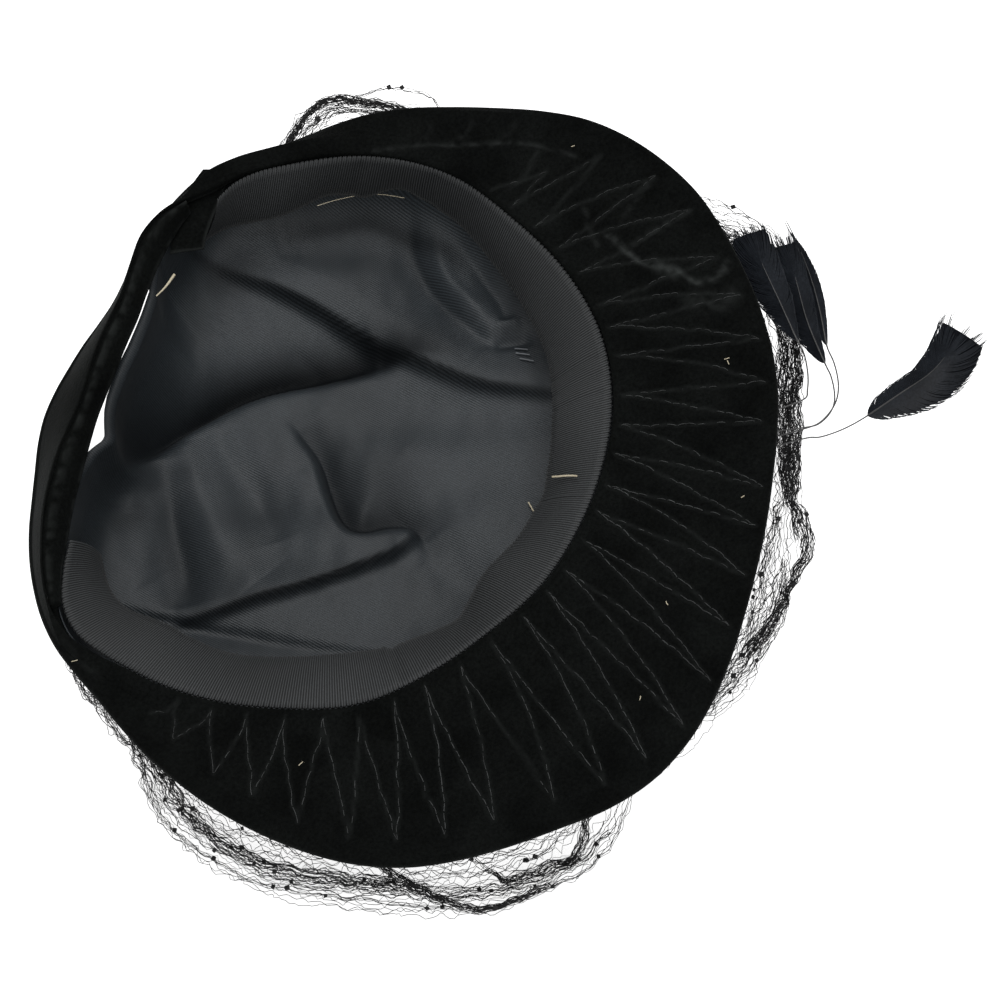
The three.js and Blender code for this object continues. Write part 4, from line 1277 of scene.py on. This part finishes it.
threads = {
    "cream": 0.34 * mm,
    "grey": 0.22 * mm,
    "lift": 1.0 * mm,
    # in plan, millimetres
    "loose": [(34.4, -55.8), (33.2, -58.3), (32.2, -60.3)],
    "looseGrey": [(32.7, -59.3), (32.2, -60.3), (29.0, -61.9), (24.5, -62.8), (20.4, -63.1),
                  (17.8, -63.1)],
    "bars": [[(75.6, -19.3), (77.6, -23.1)], [(74.1, -20.8), (76.3, -24.9)], [(73.1, -23.2),
                                                                              (75.0, -27.5)]],
    # angle along the ribbon, and share across it
    "stitch": [(-61.8, 0.26), (-61.4, 0.42), (-61.2, 0.58), (-61.0, 0.73)],
    "edging": [(40, 1.02), (36, 1.04), (31, 1.04), (27, 1.03), (23, 1.01)],
    "slit": [(76.8, 77.4, 61.9), (80.4, 76.0, 61.7), (83.9, 75.6, 61.7)],
    "lint": [(97.0, -87.3), (96.2, -88.4), (129.8, -2.2), (-105.3, 14.3), (-12.9, -133.1), (-90.1, -62.5),
             (60.2, -119.4), (18.0, -121.0)],
}


def laidThread(spots, count=30):
    return curveThrough(layOn(drapedLining, spots, threads["lift"]), count)


def makeThreads():
    cream = [(laidThread(threads["loose"]), 0.8)]
    for run, lift, thick in (("stitch", 2.1, 1.0), ("edging", 0.7, 0.35)):
        spots = [ribbonSpot(angle, share, lift * mm) for angle, share in threads[run]]
        cream.append((curveThrough(spots), thick))
    slitThread = [polarPoint(angle, radius * mm, height * mm) for angle, radius, height in threads["slit"]]
    cream.append((curveThrough(slitThread), np.linspace(1.5, 0.7, 30)))
    makeStrands("cream_threads", cream, threads["cream"], creamThread, sides=6)
    grey = [(laidThread(threads["looseGrey"]), 0.8)]
    grey += [(laidThread(bar, 8), 1.2) for bar in threads["bars"]]
    makeStrands("grey_threads", grey, threads["grey"], greyThread, sides=6)
    draw = np.random.default_rng(77)
    lint = []
    for x, y in threads["lint"]:
        turn = draw.uniform(0, np.pi)
        half = np.array([np.cos(turn), np.sin(turn)]) * draw.uniform(0.5, 1.1)
        ends = [(x - half[0], y - half[1]), (x + draw.uniform(-0.2, 0.2), y), (x + half[0], y + half[1])]
        lint.append((curveThrough(layOn(stitchedBrim, ends, 0.15 * mm), 6), 0.45))
    makeStrands("lint", lint, threads["cream"], creamThread, sides=5)


makeThreads()
print("threads ready")


# Veil: threads that wander along guides, crossing as a collapsed net does

net = {
    "thread": 0.115 * mm,
    "step": 1.05 * mm,
    "cell": 3.8 * mm,
    "dot": 0.62 * mm,
    "sheetThreads": 20,
    "meanRadius": 125 * mm,  # at which the cells of the whole sheets are counted
    "longestLink": 4 * mm,
    "crumple": 0.5 * mm,
    "crumpleSize": 8 * mm,
    "frizz": 0.32 * mm,
    "frizzSize": 3.6 * mm,
}
# Stretches of gathered net. Each guide row is angle, radius, height and half width in degrees and mm
netBunches = [
    {"name": "swag thread", "threads": 4, "node": "veil_front", "dots": 10, "crumple": 0.6, "guide": [
        (-192, 99, 16, 0.8), (-184, 101, 9, 0.8), (-179.7, 103.6, 6, 0.8), (-176.9, 106.6, 6, 0.7),
        (-171.7, 115, 6, 0.7), (-166.6, 121, 6, 0.7), (-160.1, 125.6, 6, 0.7), (-154.5, 129, 6, 0.7),
        (-148.2, 131.2, 6, 0.7), (-139.1, 134, 6, 0.7), (-135.4, 135.9, 6, 0.7), (-125.5, 143, 6, 0.7),
        (-119.6, 147.8, 6, 0.7), (-114.3, 148.4, 6, 0.8), (-108, 149.8, 7, 0.8), (-103.2, 146.5, 9, 0.8),
        (-98.8, 140.7, 18, 0.8), (-95, 132, 30, 1)]},
    {"name": "swag middle", "threads": 16, "node": "veil_front", "dots": 14, "guide": [
        (-190, 96, 24, 3), (-182, 99, 14, 2.6), (-174, 107, 9, 3.4), (-168, 113.5, 8, 3.6),
        (-160, 120, 7, 3.6), (-150, 126, 7, 3.4), (-140, 130, 7, 3.4), (-132, 134, 8, 3.4),
        (-124, 140, 8, 2.8), (-116, 145, 9, 2.4), (-108, 146.5, 12, 2.4), (-101, 142, 20, 2)]},
    {"name": "swag rope", "threads": 16, "node": "veil_front", "dots": 8, "guide": [
        (-184, 97, 26, 1.2), (-179, 100, 14, 1.4), (-175.7, 103.6, 10, 1.6), (-169.4, 109.5, 10, 2.0),
        (-163.4, 117, 9, 2.2), (-157.9, 121.4, 9, 2.2), (-151.9, 124.4, 9, 2.2), (-146.3, 126, 9, 2.2),
        (-140.6, 128, 9, 2.2), (-134.2, 131, 9, 2.0), (-128, 135, 9, 1.6)]},
    {"name": "swag cross", "threads": 20, "node": "veil_front", "dots": 5, "crumple": 0.6, "guide": [
        (-141, 120, 22, 1.4), (-137, 123, 18, 1.6), (-133.8, 128, 13, 1.7), (-129, 138, 12, 1.6),
        (-125.5, 143.6, 10, 1.4), (-122.6, 147, 8, 1.2), (-118, 148, 8, 1.0), (-113, 148, 8, 1.4)]},
    {"name": "swag tail", "threads": 20, "node": "veil_front", "dots": 3, "guide": [
        (-98, 122, 34, 1.6), (-101, 129, 24, 1.8), (-105, 136.8, 12, 1.8), (-109.6, 144.6, 10, 1.8),
        (-113, 143.4, 10, 1.6), (-117.6, 142.2, 10, 1.4), (-119.8, 138.4, 11, 1.2),
        (-121.5, 133.1, 14, 1.2)]},
    {"name": "swag veil", "threads": 16, "node": "veil_front", "dots": 12, "guide": [
        (-192, 92, 34, 8), (-180, 97, 24, 8), (-168, 106, 18, 9), (-156, 115, 15, 10),
        (-144, 121, 13, 11), (-132, 127, 12, 12), (-120, 134, 14, 8), (-110, 136, 18, 6),
        (-100, 130, 28, 5)]},
    {"name": "side band", "threads": 44, "node": "veil_side", "dots": 12, "guide": [
        (-8, 124, 38, 3), (-14, 142, 38, 4), (-20, 156, 37, 4), (-27, 161.5, 33, 4.2),
        (-33.5, 161.5, 30, 4.3), (-38, 158, 30, 4.4), (-42, 154.6, 30, 4.4), (-48.7, 151.6, 30, 4.3),
        (-52, 151, 29, 3.8), (-54.6, 151, 28, 2.4), (-56.5, 151.5, 26, 1.6)]},
    {"name": "side band back", "threads": 38, "node": "veil_side", "dots": 4, "guide": [
        (-12, 134, 38, 4), (-20, 152, 36, 4.6), (-27, 160, 32, 4.6), (-34, 160.5, 29, 4.6),
        (-42, 154, 28, 4.6), (-48.7, 151.2, 28, 4.3), (-53, 150.6, 27, 3), (-56.5, 151, 26, 1.6)]},
    {"name": "side pinch", "threads": 14, "node": "veil_side", "dots": 2, "guide": [
        (-46, 151, 28, 2.5), (-52, 151, 26, 1.5), (-56, 151.6, 25, 1.2), (-60, 154, 25, 1.8)]},
    {"name": "side outer", "threads": 30, "node": "veil_side", "dots": 8, "guide": [
        (-54.1, 150.9, 26, 1.4), (-56.2, 154.2, 25, 1.7), (-58.8, 157, 25, 2.0), (-60.2, 157.6, 25, 2.1),
        (-62.8, 156.2, 25, 2.0), (-65.6, 154, 25, 1.8), (-68, 152.8, 25, 1.9), (-71, 151.6, 25, 2.2),
        (-74, 149.6, 26, 2.6), (-78, 146.4, 27, 2.8)]},
    {"name": "side fan", "threads": 18, "node": "veil_side", "dots": 10, "guide": [
        (-63, 151.5, 27, 2.4), (-67, 151, 26, 4.0), (-71, 151, 25, 4.6), (-76, 148.6, 25, 4.2),
        (-81, 145.8, 26, 3.4), (-87, 142.6, 28, 2.4), (-92, 137, 31, 2)]},
    {"name": "side inner", "threads": 8, "node": "veil_side", "dots": 5, "guide": [
        (-54, 149, 29, 1), (-57, 146.6, 30, 1.4), (-60.8, 144.6, 30, 1.6), (-66.7, 144.6, 30, 2),
        (-72.8, 144.8, 30, 2), (-80, 143.6, 30, 2.4), (-88, 138, 32, 3)]},
    {"name": "side veil", "threads": 14, "node": "veil_side", "dots": 8, "guide": [
        (-10, 110, 42, 9), (-22, 138, 40, 10), (-34, 146, 36, 9), (-46, 145, 33, 7), (-58, 145, 30, 6),
        (-70, 147, 28, 7), (-82, 143, 28, 8), (-94, 128, 34, 8)]},
    {"name": "loose mesh", "threads": 18, "node": "veil_side", "dots": 9, "guide": [
        (-9, 138, 39, 5), (-13, 148, 39, 8), (-17, 157, 38, 8), (-22, 166, 36, 7), (-27, 167, 34, 4)]},
    {"name": "tuft", "threads": 30, "node": "veil_far", "dots": 10, "guide": [
        (49, 108, 33, 3), (45, 119, 36, 4), (41.5, 128, 38, 4.5), (38, 135.5, 38, 4.5),
        (33.5, 136.2, 38, 4), (28.5, 135.5, 36, 3.6), (24, 132, 35, 3.4), (18, 126, 34, 3),
        (8, 116, 32, 3), (-2, 112, 30, 3)]},
    {"name": "tuft edge", "threads": 22, "node": "veil_far", "dots": 4, "guide": [
        (46, 116, 35, 1.6), (43.3, 126, 35, 1.2), (41.4, 132.8, 35, 1.2), (39.8, 137.2, 35, 1.1),
        (38, 139.6, 35, 1.1), (35.6, 140, 35, 1.1), (33, 139.2, 35, 1.2), (28.4, 138, 35, 1.3),
        (24, 134, 35, 1.5), (19, 128, 35, 2)]},
    {"name": "tuft arc", "threads": 3, "node": "veil_far", "dots": 3, "guide": [
        (36, 137, 36, 0.6), (34.2, 140.6, 36, 0.6), (32, 143, 36, 0.5), (29.8, 144.7, 36, 0.5),
        (27.2, 144.8, 36, 0.5), (24, 144.1, 35, 0.5), (22.8, 141.5, 35, 0.6), (22, 136, 34, 0.8)]},
    {"name": "tuft veil", "threads": 22, "node": "veil_far", "dots": 6, "guide": [
        (50, 100, 38, 6), (42, 112, 38, 8), (32, 122, 36, 9), (22, 120, 34, 8), (8, 112, 32, 6),
        (-6, 112, 32, 6)]},
]


def crumpled(points, seed, amount=1.0):
    # neighbours share the larger bends, and each thread has fine ones of its own
    moved = points.copy()
    for axis in range(3):
        moved[:, axis] += amount * net["crumple"] * noiseAt(points, net["crumpleSize"], 200 + axis)
        moved[:, axis] += amount * net["frizz"] * noiseAt(points, net["frizzSize"], seed * 3 + axis + 300)
    moved[:, 2] = np.maximum(moved[:, 2], 0.5 * mm)
    return moved


def sawtooth(turn):
    return np.arcsin(np.sin(turn)) / (0.5 * np.pi)


def runFrame(line):
    # directions along a line and to its right
    forward = np.gradient(line, axis=0)
    forward /= np.linalg.norm(forward, axis=1, keepdims=True)
    side = np.cross(forward, [0, 0, 1.0])
    return forward, side / np.linalg.norm(side, axis=1, keepdims=True)


def bunchStrands(bunch, seed):
    # threads of one stretch with links between them, and the places of its dots
    fine = curveThrough(bunch["guide"], 300)
    centre = polarPoint(fine[:, 0], fine[:, 1] * mm, fine[:, 2] * mm)
    run = runAlong(centre)
    along = np.linspace(0, run[-1], int(run[-1] / net["step"]))
    centre = pointsAt(along, run, centre)
    half = np.interp(along, run, fine[:, 3]) * mm
    forward, side = runFrame(centre)
    lift = np.cross(side, forward)
    draw = np.random.default_rng(seed)
    total, count = bunch["threads"], len(along)
    phase = along / net["cell"] * np.pi
    strands = []
    for k in range(total):
        base = (k + 0.5) / total * 2 - 1
        pair = 1 if k % 2 else -1
        zig = sawtooth(phase + 0.5 * np.pi * pair + draw.uniform(-0.5, 0.5))
        drift, rise = np.zeros(count), np.zeros(count)
        for length in (60, 25, 11):
            waves = along / (length * mm) * 2 * np.pi
            drift += np.sin(waves + draw.uniform(0, 6.3)) * (length / 60) ** 0.6 * 0.30
            rise += np.sin(waves + draw.uniform(0, 6.3)) * (length / 60) ** 0.6 * 0.5
        across = base * (0.85 + 0.25 * drift) + 0.45 * drift + zig * 0.8 / total
        points = centre + side * (across * half)[:, None] + lift * (rise * (0.35 * half + 0.3 * mm))[:, None]
        points = crumpled(points, seed * 40 + k, bunch.get("crumple", 1.0))
        first = int(draw.uniform(0, 0.12) * count)
        last = count - int(draw.uniform(0, 0.12) * count)
        strands.append((points[first:last], draw.uniform(0.75, 1.25)))
    lines = [line for line, _ in strands]
    gap = max(int(net["cell"] / net["step"]), 3)
    for a, b in zip(lines, lines[1:]):
        for i in range(draw.integers(0, gap), min(len(a), len(b)) - 2, gap * 2):
            if np.linalg.norm(a[i] - b[i]) < net["longestLink"]:
                strands.append((np.stack([a[i], (a[i] + b[i]) / 2, b[i]]), 0.7))
    spots = []
    for _ in range(bunch["dots"]):
        line = lines[draw.integers(0, len(lines))]
        spots.append(line[draw.integers(2, len(line) - 2)])
    return strands, spots


def makeDotTree():
    # a small fuzzy block on every point
    tree, into, out = newGroup(
        "chenilleDots", "GeometryNodeTree",
        [("Geometry", "NodeSocketGeometry", None), ("Size", "NodeSocketFloat", 0.001),
         ("Finish", "NodeSocketMaterial", None)],
        [("Geometry", "NodeSocketGeometry")])
    grain = addNode(tree, "GeometryNodeMeshCube", (1, 1), {"Vertices X": 3, "Vertices Y": 3, "Vertices Z": 2})
    turn = addNode(tree, "FunctionNodeRandomValue", (1, 2),
                   {"Min": (-0.6, -0.6, -1.5), "Max": (0.6, 0.6, 1.5), "Seed": 3}, data_type="FLOAT_VECTOR")
    grow = addNode(tree, "FunctionNodeRandomValue", (1, 3), {2: 0.75, 3: 1.25, "Seed": 5}, data_type="FLOAT")
    place = addNode(tree, "GeometryNodeInstanceOnPoints", (2, 0))
    scale = addNode(tree, "ShaderNodeVectorMath", (1, 4), {1: (1.0, 0.9, 0.55)}, operation="MULTIPLY")
    link = tree.links.new
    link(into.outputs["Size"], scale.inputs[0])
    link(scale.outputs[0], grain.inputs["Size"])
    link(into.outputs["Geometry"], place.inputs["Points"])
    link(grain.outputs["Mesh"], place.inputs["Instance"])
    link(turn.outputs[0], place.inputs["Rotation"])
    link(grow.outputs[1], place.inputs["Scale"])
    return endTree(tree, into, out, place.outputs["Instances"])


dotTree = makeDotTree()


def makeDots(name, spots, size, material, nodes=()):
    mesh = bpy.data.meshes.new(name)
    mesh.from_pydata([tuple(spot) for spot in spots], [], [])
    piece = addObject(name, mesh)
    applyTree(piece, dotTree, {"Size": size, "Finish": material})
    finishPiece(piece, nodes)


def veilSheet(node):
    # stations of the frame's veil as angles, and the middle of its cloth from seam to free edge
    points = nodePoints(node)
    turn = np.degrees(np.arctan2(points[:, 1], points[:, 0]))
    turn = np.where(turn > 60, turn - 360, turn)
    order = np.argsort(turn)
    points, turn = points[order], turn[order]
    cuts = np.where(np.diff(turn) > 0.8)[0] + 1
    angles, rows = [], []
    for spot, angle in zip(np.split(points, cuts), np.split(turn, cuts)):
        corners = np.stack([np.hypot(spot[:, 0], spot[:, 1]), spot[:, 2]], -1)
        corners = corners[np.argsort(corners[:, 0])]
        half = len(corners) // 2
        angles.append(angle.mean())
        rows.append(corners[:half * 2].reshape(half, 2, 2).mean(1)[[0, half // 2, half - 1]])
    return np.array(angles), np.array(rows)


def sheetStrands(node, seed):
    # a whole diamond net from the seam out to the free edge, in loose folds
    stations, rows = veilSheet(node)
    count = int(np.radians(stations[-1] - stations[0]) * net["meanRadius"] / net["step"])
    angles = np.linspace(stations[0], stations[-1], count)
    fine = openTable(stations, rows, angles)
    draw = np.random.default_rng(seed)
    run = np.radians(angles - angles[0]) * net["meanRadius"]
    phase = run / net["cell"] * 2 * np.pi
    strands = []
    total = net["sheetThreads"]
    for k in range(total):
        zig = sawtooth(phase + np.pi * (k % 2))
        wander = np.zeros(count)
        for length in (70, 31, 17):
            wander += np.sin(run / (length * mm) * 2 * np.pi + draw.uniform(0, 6.3)) * 0.22 * length / 70
        swing = 0.08 if k == total - 1 else 0.42
        share = np.clip((k + 0.5 + swing * zig + wander * 1.2) / total, 0, 1)
        weights = [2 * (share - 0.5) * (share - 1), 4 * share * (1 - share), 2 * share * (share - 0.5)]
        radius, height = (sum(w * fine[:, i, axis] for i, w in enumerate(weights)) for axis in (0, 1))
        fold = np.sin(np.radians(angles) * 26 + 2.5 * share) * share * 1.5 * mm
        points = crumpled(polarPoint(angles, radius, height + fold), seed * 40 + k, 1.3)
        strands.append((points, draw.uniform(0.8, 1.1)))
    return strands


def makeNet():
    for seed, node in enumerate(("veil_front", "veil_side", "veil_far")):
        strands, spots = sheetStrands(node, 90 + seed), []
        for k, bunch in enumerate(netBunches):
            if bunch["node"] == node:
                more, dots = bunchStrands(bunch, 40 + k)
                strands += more
                spots += dots
        makeStrands(node.replace("veil", "net"), strands, net["thread"], netThread, [node])
        makeDots(node.replace("veil", "dots"), spots, net["dot"] * 2, netThread, [node])


makeNet()
print("net ready")


# Feathers: barbs on a shaft that goes on as a bare quill

feather = {
    "barb": 0.26 * mm,
    "spacing": 0.30 * mm,
    "droop": 1.4 * mm,
    "shaft": 0.34 * mm,
    "quill": 0.24 * mm,
    "ease": 15,              # rows over which bends of the quill are eased
    "fan": 70,               # barbs past the shaft's end
    "clump": 9,              # barbs that hold together
    "fanClump": 6,
    "bladeRows": 60,
    "bladeColumns": 13,
    "bladeEnd": 0.97,        # share of the vane's length that the leaf reaches
    "bladeReach": 0.93,      # share of the vane's width
    "bladeSink": 0.25 * mm,
    "bladeThickness": 0.20 * mm,
}
# Run of each shaft as angle, radius and height, quill and vane together: the vane begins at the
# vaneFrom share of the rows and goes on past the shaft's end. Left and right are half widths in mm.
vanes = [
    {"name": "broad", "seed": 61, "vaneFrom": 6, "shaftEnd": 0.70, "ragged": 0.05, "run": [
        (-50.6, 101, 52), (-48.6, 128, 54), (-46.8, 153.2, 56), (-45.7, 155.8, 57), (-43.8, 157.1, 57.5),
        (-40.9, 157.5, 58), (-39.3, 156.5, 58), (-34.2, 155.3, 59), (-28.9, 155.1, 60),
        (-23.9, 156.7, 61)],
        "left": [(0, 0.5), (0.15, 3.5), (0.4, 6.5), (0.7, 8.0), (0.9, 7.0), (1, 5.0)],
        "right": [(0, 0.5), (0.15, 2.4), (0.4, 5.0), (0.7, 6.0), (0.9, 6.2), (1, 5.6)]},
    {"name": "middle", "seed": 62, "vaneFrom": 7, "shaftEnd": 0.72, "ragged": 0.10, "run": [
        (-51.4, 101, 52), (-50, 128, 50), (-49.2, 153.9, 50), (-49.0, 159.0, 51), (-47.7, 163.3, 51.5),
        (-46.0, 165.3, 52), (-43.4, 165.3, 52.5), (-42.1, 164.3, 53), (-36.6, 162.3, 54.5),
        (-31.4, 164.1, 56), (-26.5, 166.4, 57)],
        "left": [(0, 0.4), (0.12, 3.0), (0.3, 5.6), (0.5, 6.4), (0.8, 7.0), (1, 6.0)],
        "right": [(0, 0.4), (0.12, 1.6), (0.3, 3.0), (0.5, 4.0), (0.8, 4.2), (1, 3.6)]},
    {"name": "spike", "seed": 63, "vaneFrom": 8, "shaftEnd": 0.86, "ragged": 0.04, "run": [
        (-52.6, 101, 52), (-51.2, 128, 47.5), (-48.9, 154.2, 47), (-48.3, 159.9, 47.5),
        (-46.7, 164.7, 48), (-45.2, 167.0, 48.5), (-43.4, 168.0, 49), (-40.9, 167.9, 49.3),
        (-39.4, 166.9, 49.6), (-35.4, 168.7, 50), (-30.9, 170.4, 51), (-27.7, 171.2, 52),
        (-26.0, 171.4, 52.5)],
        "left": [(0, 0.3), (0.15, 2.2), (0.4, 5.2), (0.65, 5.4), (0.88, 2.6), (1, 0.4)],
        "right": [(0, 0.3), (0.15, 1.2), (0.4, 2.2), (0.65, 2.4), (0.88, 1.4), (1, 0.3)]},
    {"name": "lone", "seed": 64, "vaneFrom": 6, "shaftEnd": 0.74, "ragged": 0.10, "run": [
        (-53.6, 101, 52), (-52.2, 128, 44.5), (-49.5, 154.4, 43.5), (-49.6, 158.8, 43.7),
        (-49.1, 164.8, 44), (-48.5, 169.8, 44.5), (-47.6, 175.6, 45), (-45.4, 188.0, 45.2),
        (-43.8, 198.7, 45), (-41.9, 206.6, 44.6), (-40.1, 214.2, 44.2)],
        "left": [(0, 0.3), (0.12, 3.4), (0.28, 4.6), (0.5, 4.6), (0.75, 6.6), (1, 9.0)],
        "right": [(0, 0.3), (0.12, 5.0), (0.28, 8.2), (0.5, 10.2), (0.75, 10.4), (0.9, 9.0), (1, 7.2)]},
]


def eased(path, rows):
    # rounds off the bends of a path and keeps its ends
    reach = np.arange(-3 * rows, 3 * rows + 1)
    weight = np.exp(-0.5 * (reach / rows) ** 2)
    weight /= weight.sum()
    before = 2 * path[0] - path[3 * rows:0:-1]
    after = 2 * path[-1] - path[-2:-3 * rows - 2:-1]
    full = np.concatenate([before, path, after])
    return np.stack([np.convolve(full[:, k], weight, "valid") for k in range(3)], -1)


def slowDraw(draw, count, every):
    # one draw for every so many steps, with straight runs between them
    keys = np.arange(0, count + every, every)
    return np.interp(np.arange(count), keys, draw.uniform(-1, 1, len(keys)))


def halfWidth(rows, share):
    return np.interp(share, [row[0] for row in rows], [row[1] for row in rows]) * mm


def makeBlade(vane, place, full):
    # a thin closed leaf under the barbs, dark as painted shade between them, with a nibbled edge
    rows, columns = feather["bladeRows"], feather["bladeColumns"]
    nibble = slowDraw(np.random.default_rng(vane["seed"] + 100), rows, 3)
    spots = []
    for share, bite in zip(np.linspace(0.02, feather["bladeEnd"], rows), nibble):
        toLeft, toRight = (halfWidth(vane[side], max(share - 0.02, 0)) for side in ("left", "right"))
        reach = feather["bladeReach"] * (1 + 0.03 * bite)
        across = np.linspace(-toLeft, toRight, columns) * reach
        spots.append(place(np.full(columns, share * full), across))
    upper = np.array(spots) - [0, 0, feather["bladeSink"]]
    lower = upper - [0, 0, feather["bladeThickness"]]
    grid = np.concatenate([upper, lower[:, ::-1]], 1)
    tubePiece("blade_" + vane["name"], grid, leafShadeFinish, "feather", ["feather_" + vane["name"]])


def barbStrands(vane, place, full):
    # barbs on either side of the shaft in clumps, then a fan of them past its end
    draw = np.random.default_rng(vane["seed"])
    shaftEnd = vane["shaftEnd"]
    t = np.linspace(0, 1, 10)
    fade = np.linspace(1.0, 0.3, 10)
    strands = []

    def addBarb(along, across, lift, thickest):
        points = place(along, across)
        points[:, 2] += lift * mm * draw.normal() * t
        strands.append((points, fade * draw.uniform(0.85, thickest)))

    count = int(full * shaftEnd / feather["spacing"])
    for sign, side in ((-1, "left"), (1, "right")):
        clump = slowDraw(draw, count, feather["clump"])
        for i in range(count):
            root = i / count * shaftEnd
            end = root + 0.08 + 0.24 * root / shaftEnd + 0.012 * clump[i] + 0.006 * draw.normal()
            width = halfWidth(vane[side], min(end, 1)) * (1 + 0.03 * draw.normal() + 0.03 * clump[i])
            along = (root + (end - root) * (0.6 * t + 0.4 * t ** 2)) * full
            addBarb(along, sign * width * (1 - (1 - t) ** 1.6), 0.10, 1.15)
    rag = slowDraw(draw, feather["fan"], feather["fanClump"])
    for k, share in enumerate(np.linspace(-1, 1, feather["fan"])):
        width = halfWidth(vane["right" if share > 0 else "left"], 1) * share
        end = 1 + vane["ragged"] * rag[k] + 0.015 * draw.normal()
        root = shaftEnd - 0.10 * abs(share)
        along = (root + (end - root) * t) * full
        across = width * (1 - (1 - t) ** 1.25) + 0.15 * mm * draw.normal() * t
        addBarb(along, across, 0.12, 1.1)
    return strands


def makeFeather(vane):
    run = np.array(vane["run"], float)
    keys = np.arange(len(run), dtype=float)
    at = np.linspace(0, keys[-1], 500)
    fine = openTable(keys, run, at)
    path = eased(polarPoint(fine[:, 0], fine[:, 1] * mm, fine[:, 2] * mm), feather["ease"])
    length = runAlong(path)
    begin = np.interp(vane["vaneFrom"], at, length)
    full = length[-1] - begin
    forward, side = runFrame(path)

    def place(along, across):
        # points of the vane from their length along the axis and their reach to the right
        over = np.maximum(begin + along - length[-1], 0)[:, None]
        pick = np.clip(begin + along, 0, length[-1])
        spot = pointsAt(pick, length, path) + over * forward[-1]
        spot = spot + pointsAt(pick, length, side) * across[:, None]
        spot[:, 2] -= feather["droop"] * (across / (9 * mm)) ** 2
        return spot

    strands = barbStrands(vane, place, full)
    makeBlade(vane, place, full)
    shaftLength = begin + full * vane["shaftEnd"]
    stop = np.searchsorted(length, shaftLength)
    every = max(stop // 100, 1)
    core = path[:stop:every] + [0, 0, 0.12 * mm]
    taper = np.interp(length[:stop:every], [0, begin * 0.98, begin + 2 * mm, shaftLength],
                      [feather["quill"], feather["quill"], feather["shaft"], 0.12 * mm]) / feather["barb"]
    nodes = ["feather_" + vane["name"]]
    makeStrands("barbs_" + vane["name"], strands, feather["barb"], barbFinish, nodes)
    makeStrands("shaft_" + vane["name"], [(core, taper)], feather["barb"], quillFinish,
                nodes, sides=6)


for vane in vanes:
    makeFeather(vane)
print("feathers ready")


# Stage

studio = {
    "cameraPlace": (-0.3100, -0.30374, 1.02853),
    "cameraTarget": (0.01765, -0.05683, 0.0620),
    "lens": 120.0,
    "keyPlace": (0.40, 0.30, 1.66),
    "keySize": 1.3,
    "keyPower": 17.0,
    "fillPlace": (-0.9, -0.9, 1.5),
    "fillSize": 1.4,
    "fillPower": 10.0,
    "skyStrength": 0.42,
    "floorHalf": 6.0,
    "floorGlow": 0.78,
}


def addHolder(name, data, place, target):
    # a camera or lamp at its place, turned towards its target
    holder = addObject(name, data)
    holder.location = place
    way = Vector(target) - holder.location
    holder.rotation_euler = way.to_track_quat("-Z", "Y").to_euler()
    return holder


def makeCamera():
    lens = bpy.data.cameras.new("camera")
    lens.lens = studio["lens"]
    lens.clip_end = 20
    bpy.context.scene.camera = addHolder("camera", lens, studio["cameraPlace"], studio["cameraTarget"])


def makeLamps():
    for name in ("key", "fill"):
        lamp = bpy.data.lights.new(name, "AREA")
        lamp.size = studio[name + "Size"]
        lamp.energy = studio[name + "Power"]
        addHolder(name, lamp, studio[name + "Place"], (0, 0, 0.05))


def makeSky():
    # plain white to the camera, and weaker as light on the hat
    world = bpy.data.worlds.new("studio")
    bpy.context.scene.world = world
    world.use_nodes = True
    tree = world.node_tree
    backdrop = tree.nodes["Background"]
    sky = addNode(tree, "ShaderNodeLightPath", (-2, 0))
    strength = addNode(tree, "ShaderNodeMapRange", (-1, 0), {"To Min": studio["skyStrength"], "To Max": 1.0})
    tree.links.new(sky.outputs["Is Camera Ray"], strength.inputs["Value"])
    tree.links.new(strength.outputs[0], backdrop.inputs["Strength"])
    backdrop.inputs["Color"].default_value = white


def makeFloor():
    # white paper that shines a little, as in the photo's blown-out ground
    half = studio["floorHalf"]
    mesh = bpy.data.meshes.new("floor")
    mesh.from_pydata([(-half, -half, 0), (half, -half, 0), (half, half, 0), (-half, half, 0)], [],
                     [(0, 1, 2, 3)])
    paper = bpy.data.materials.new("floor_paper")
    paper.use_nodes = True
    shader = paper.node_tree.nodes["Principled BSDF"]
    shader.inputs["Base Color"].default_value = (0.85, 0.85, 0.85, 1.0)
    shader.inputs["Roughness"].default_value = 0.9
    shader.inputs["Emission Color"].default_value = white
    shader.inputs["Emission Strength"].default_value = studio["floorGlow"]
    mesh.materials.append(paper)
    addObject("floor", mesh)


bpy.context.scene.view_settings.view_transform = "Standard"
makeCamera()
makeLamps()
makeSky()
makeFloor()
print("stage ready")

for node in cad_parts:
    print(node, "shown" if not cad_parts[node].hide_render else "replaced")
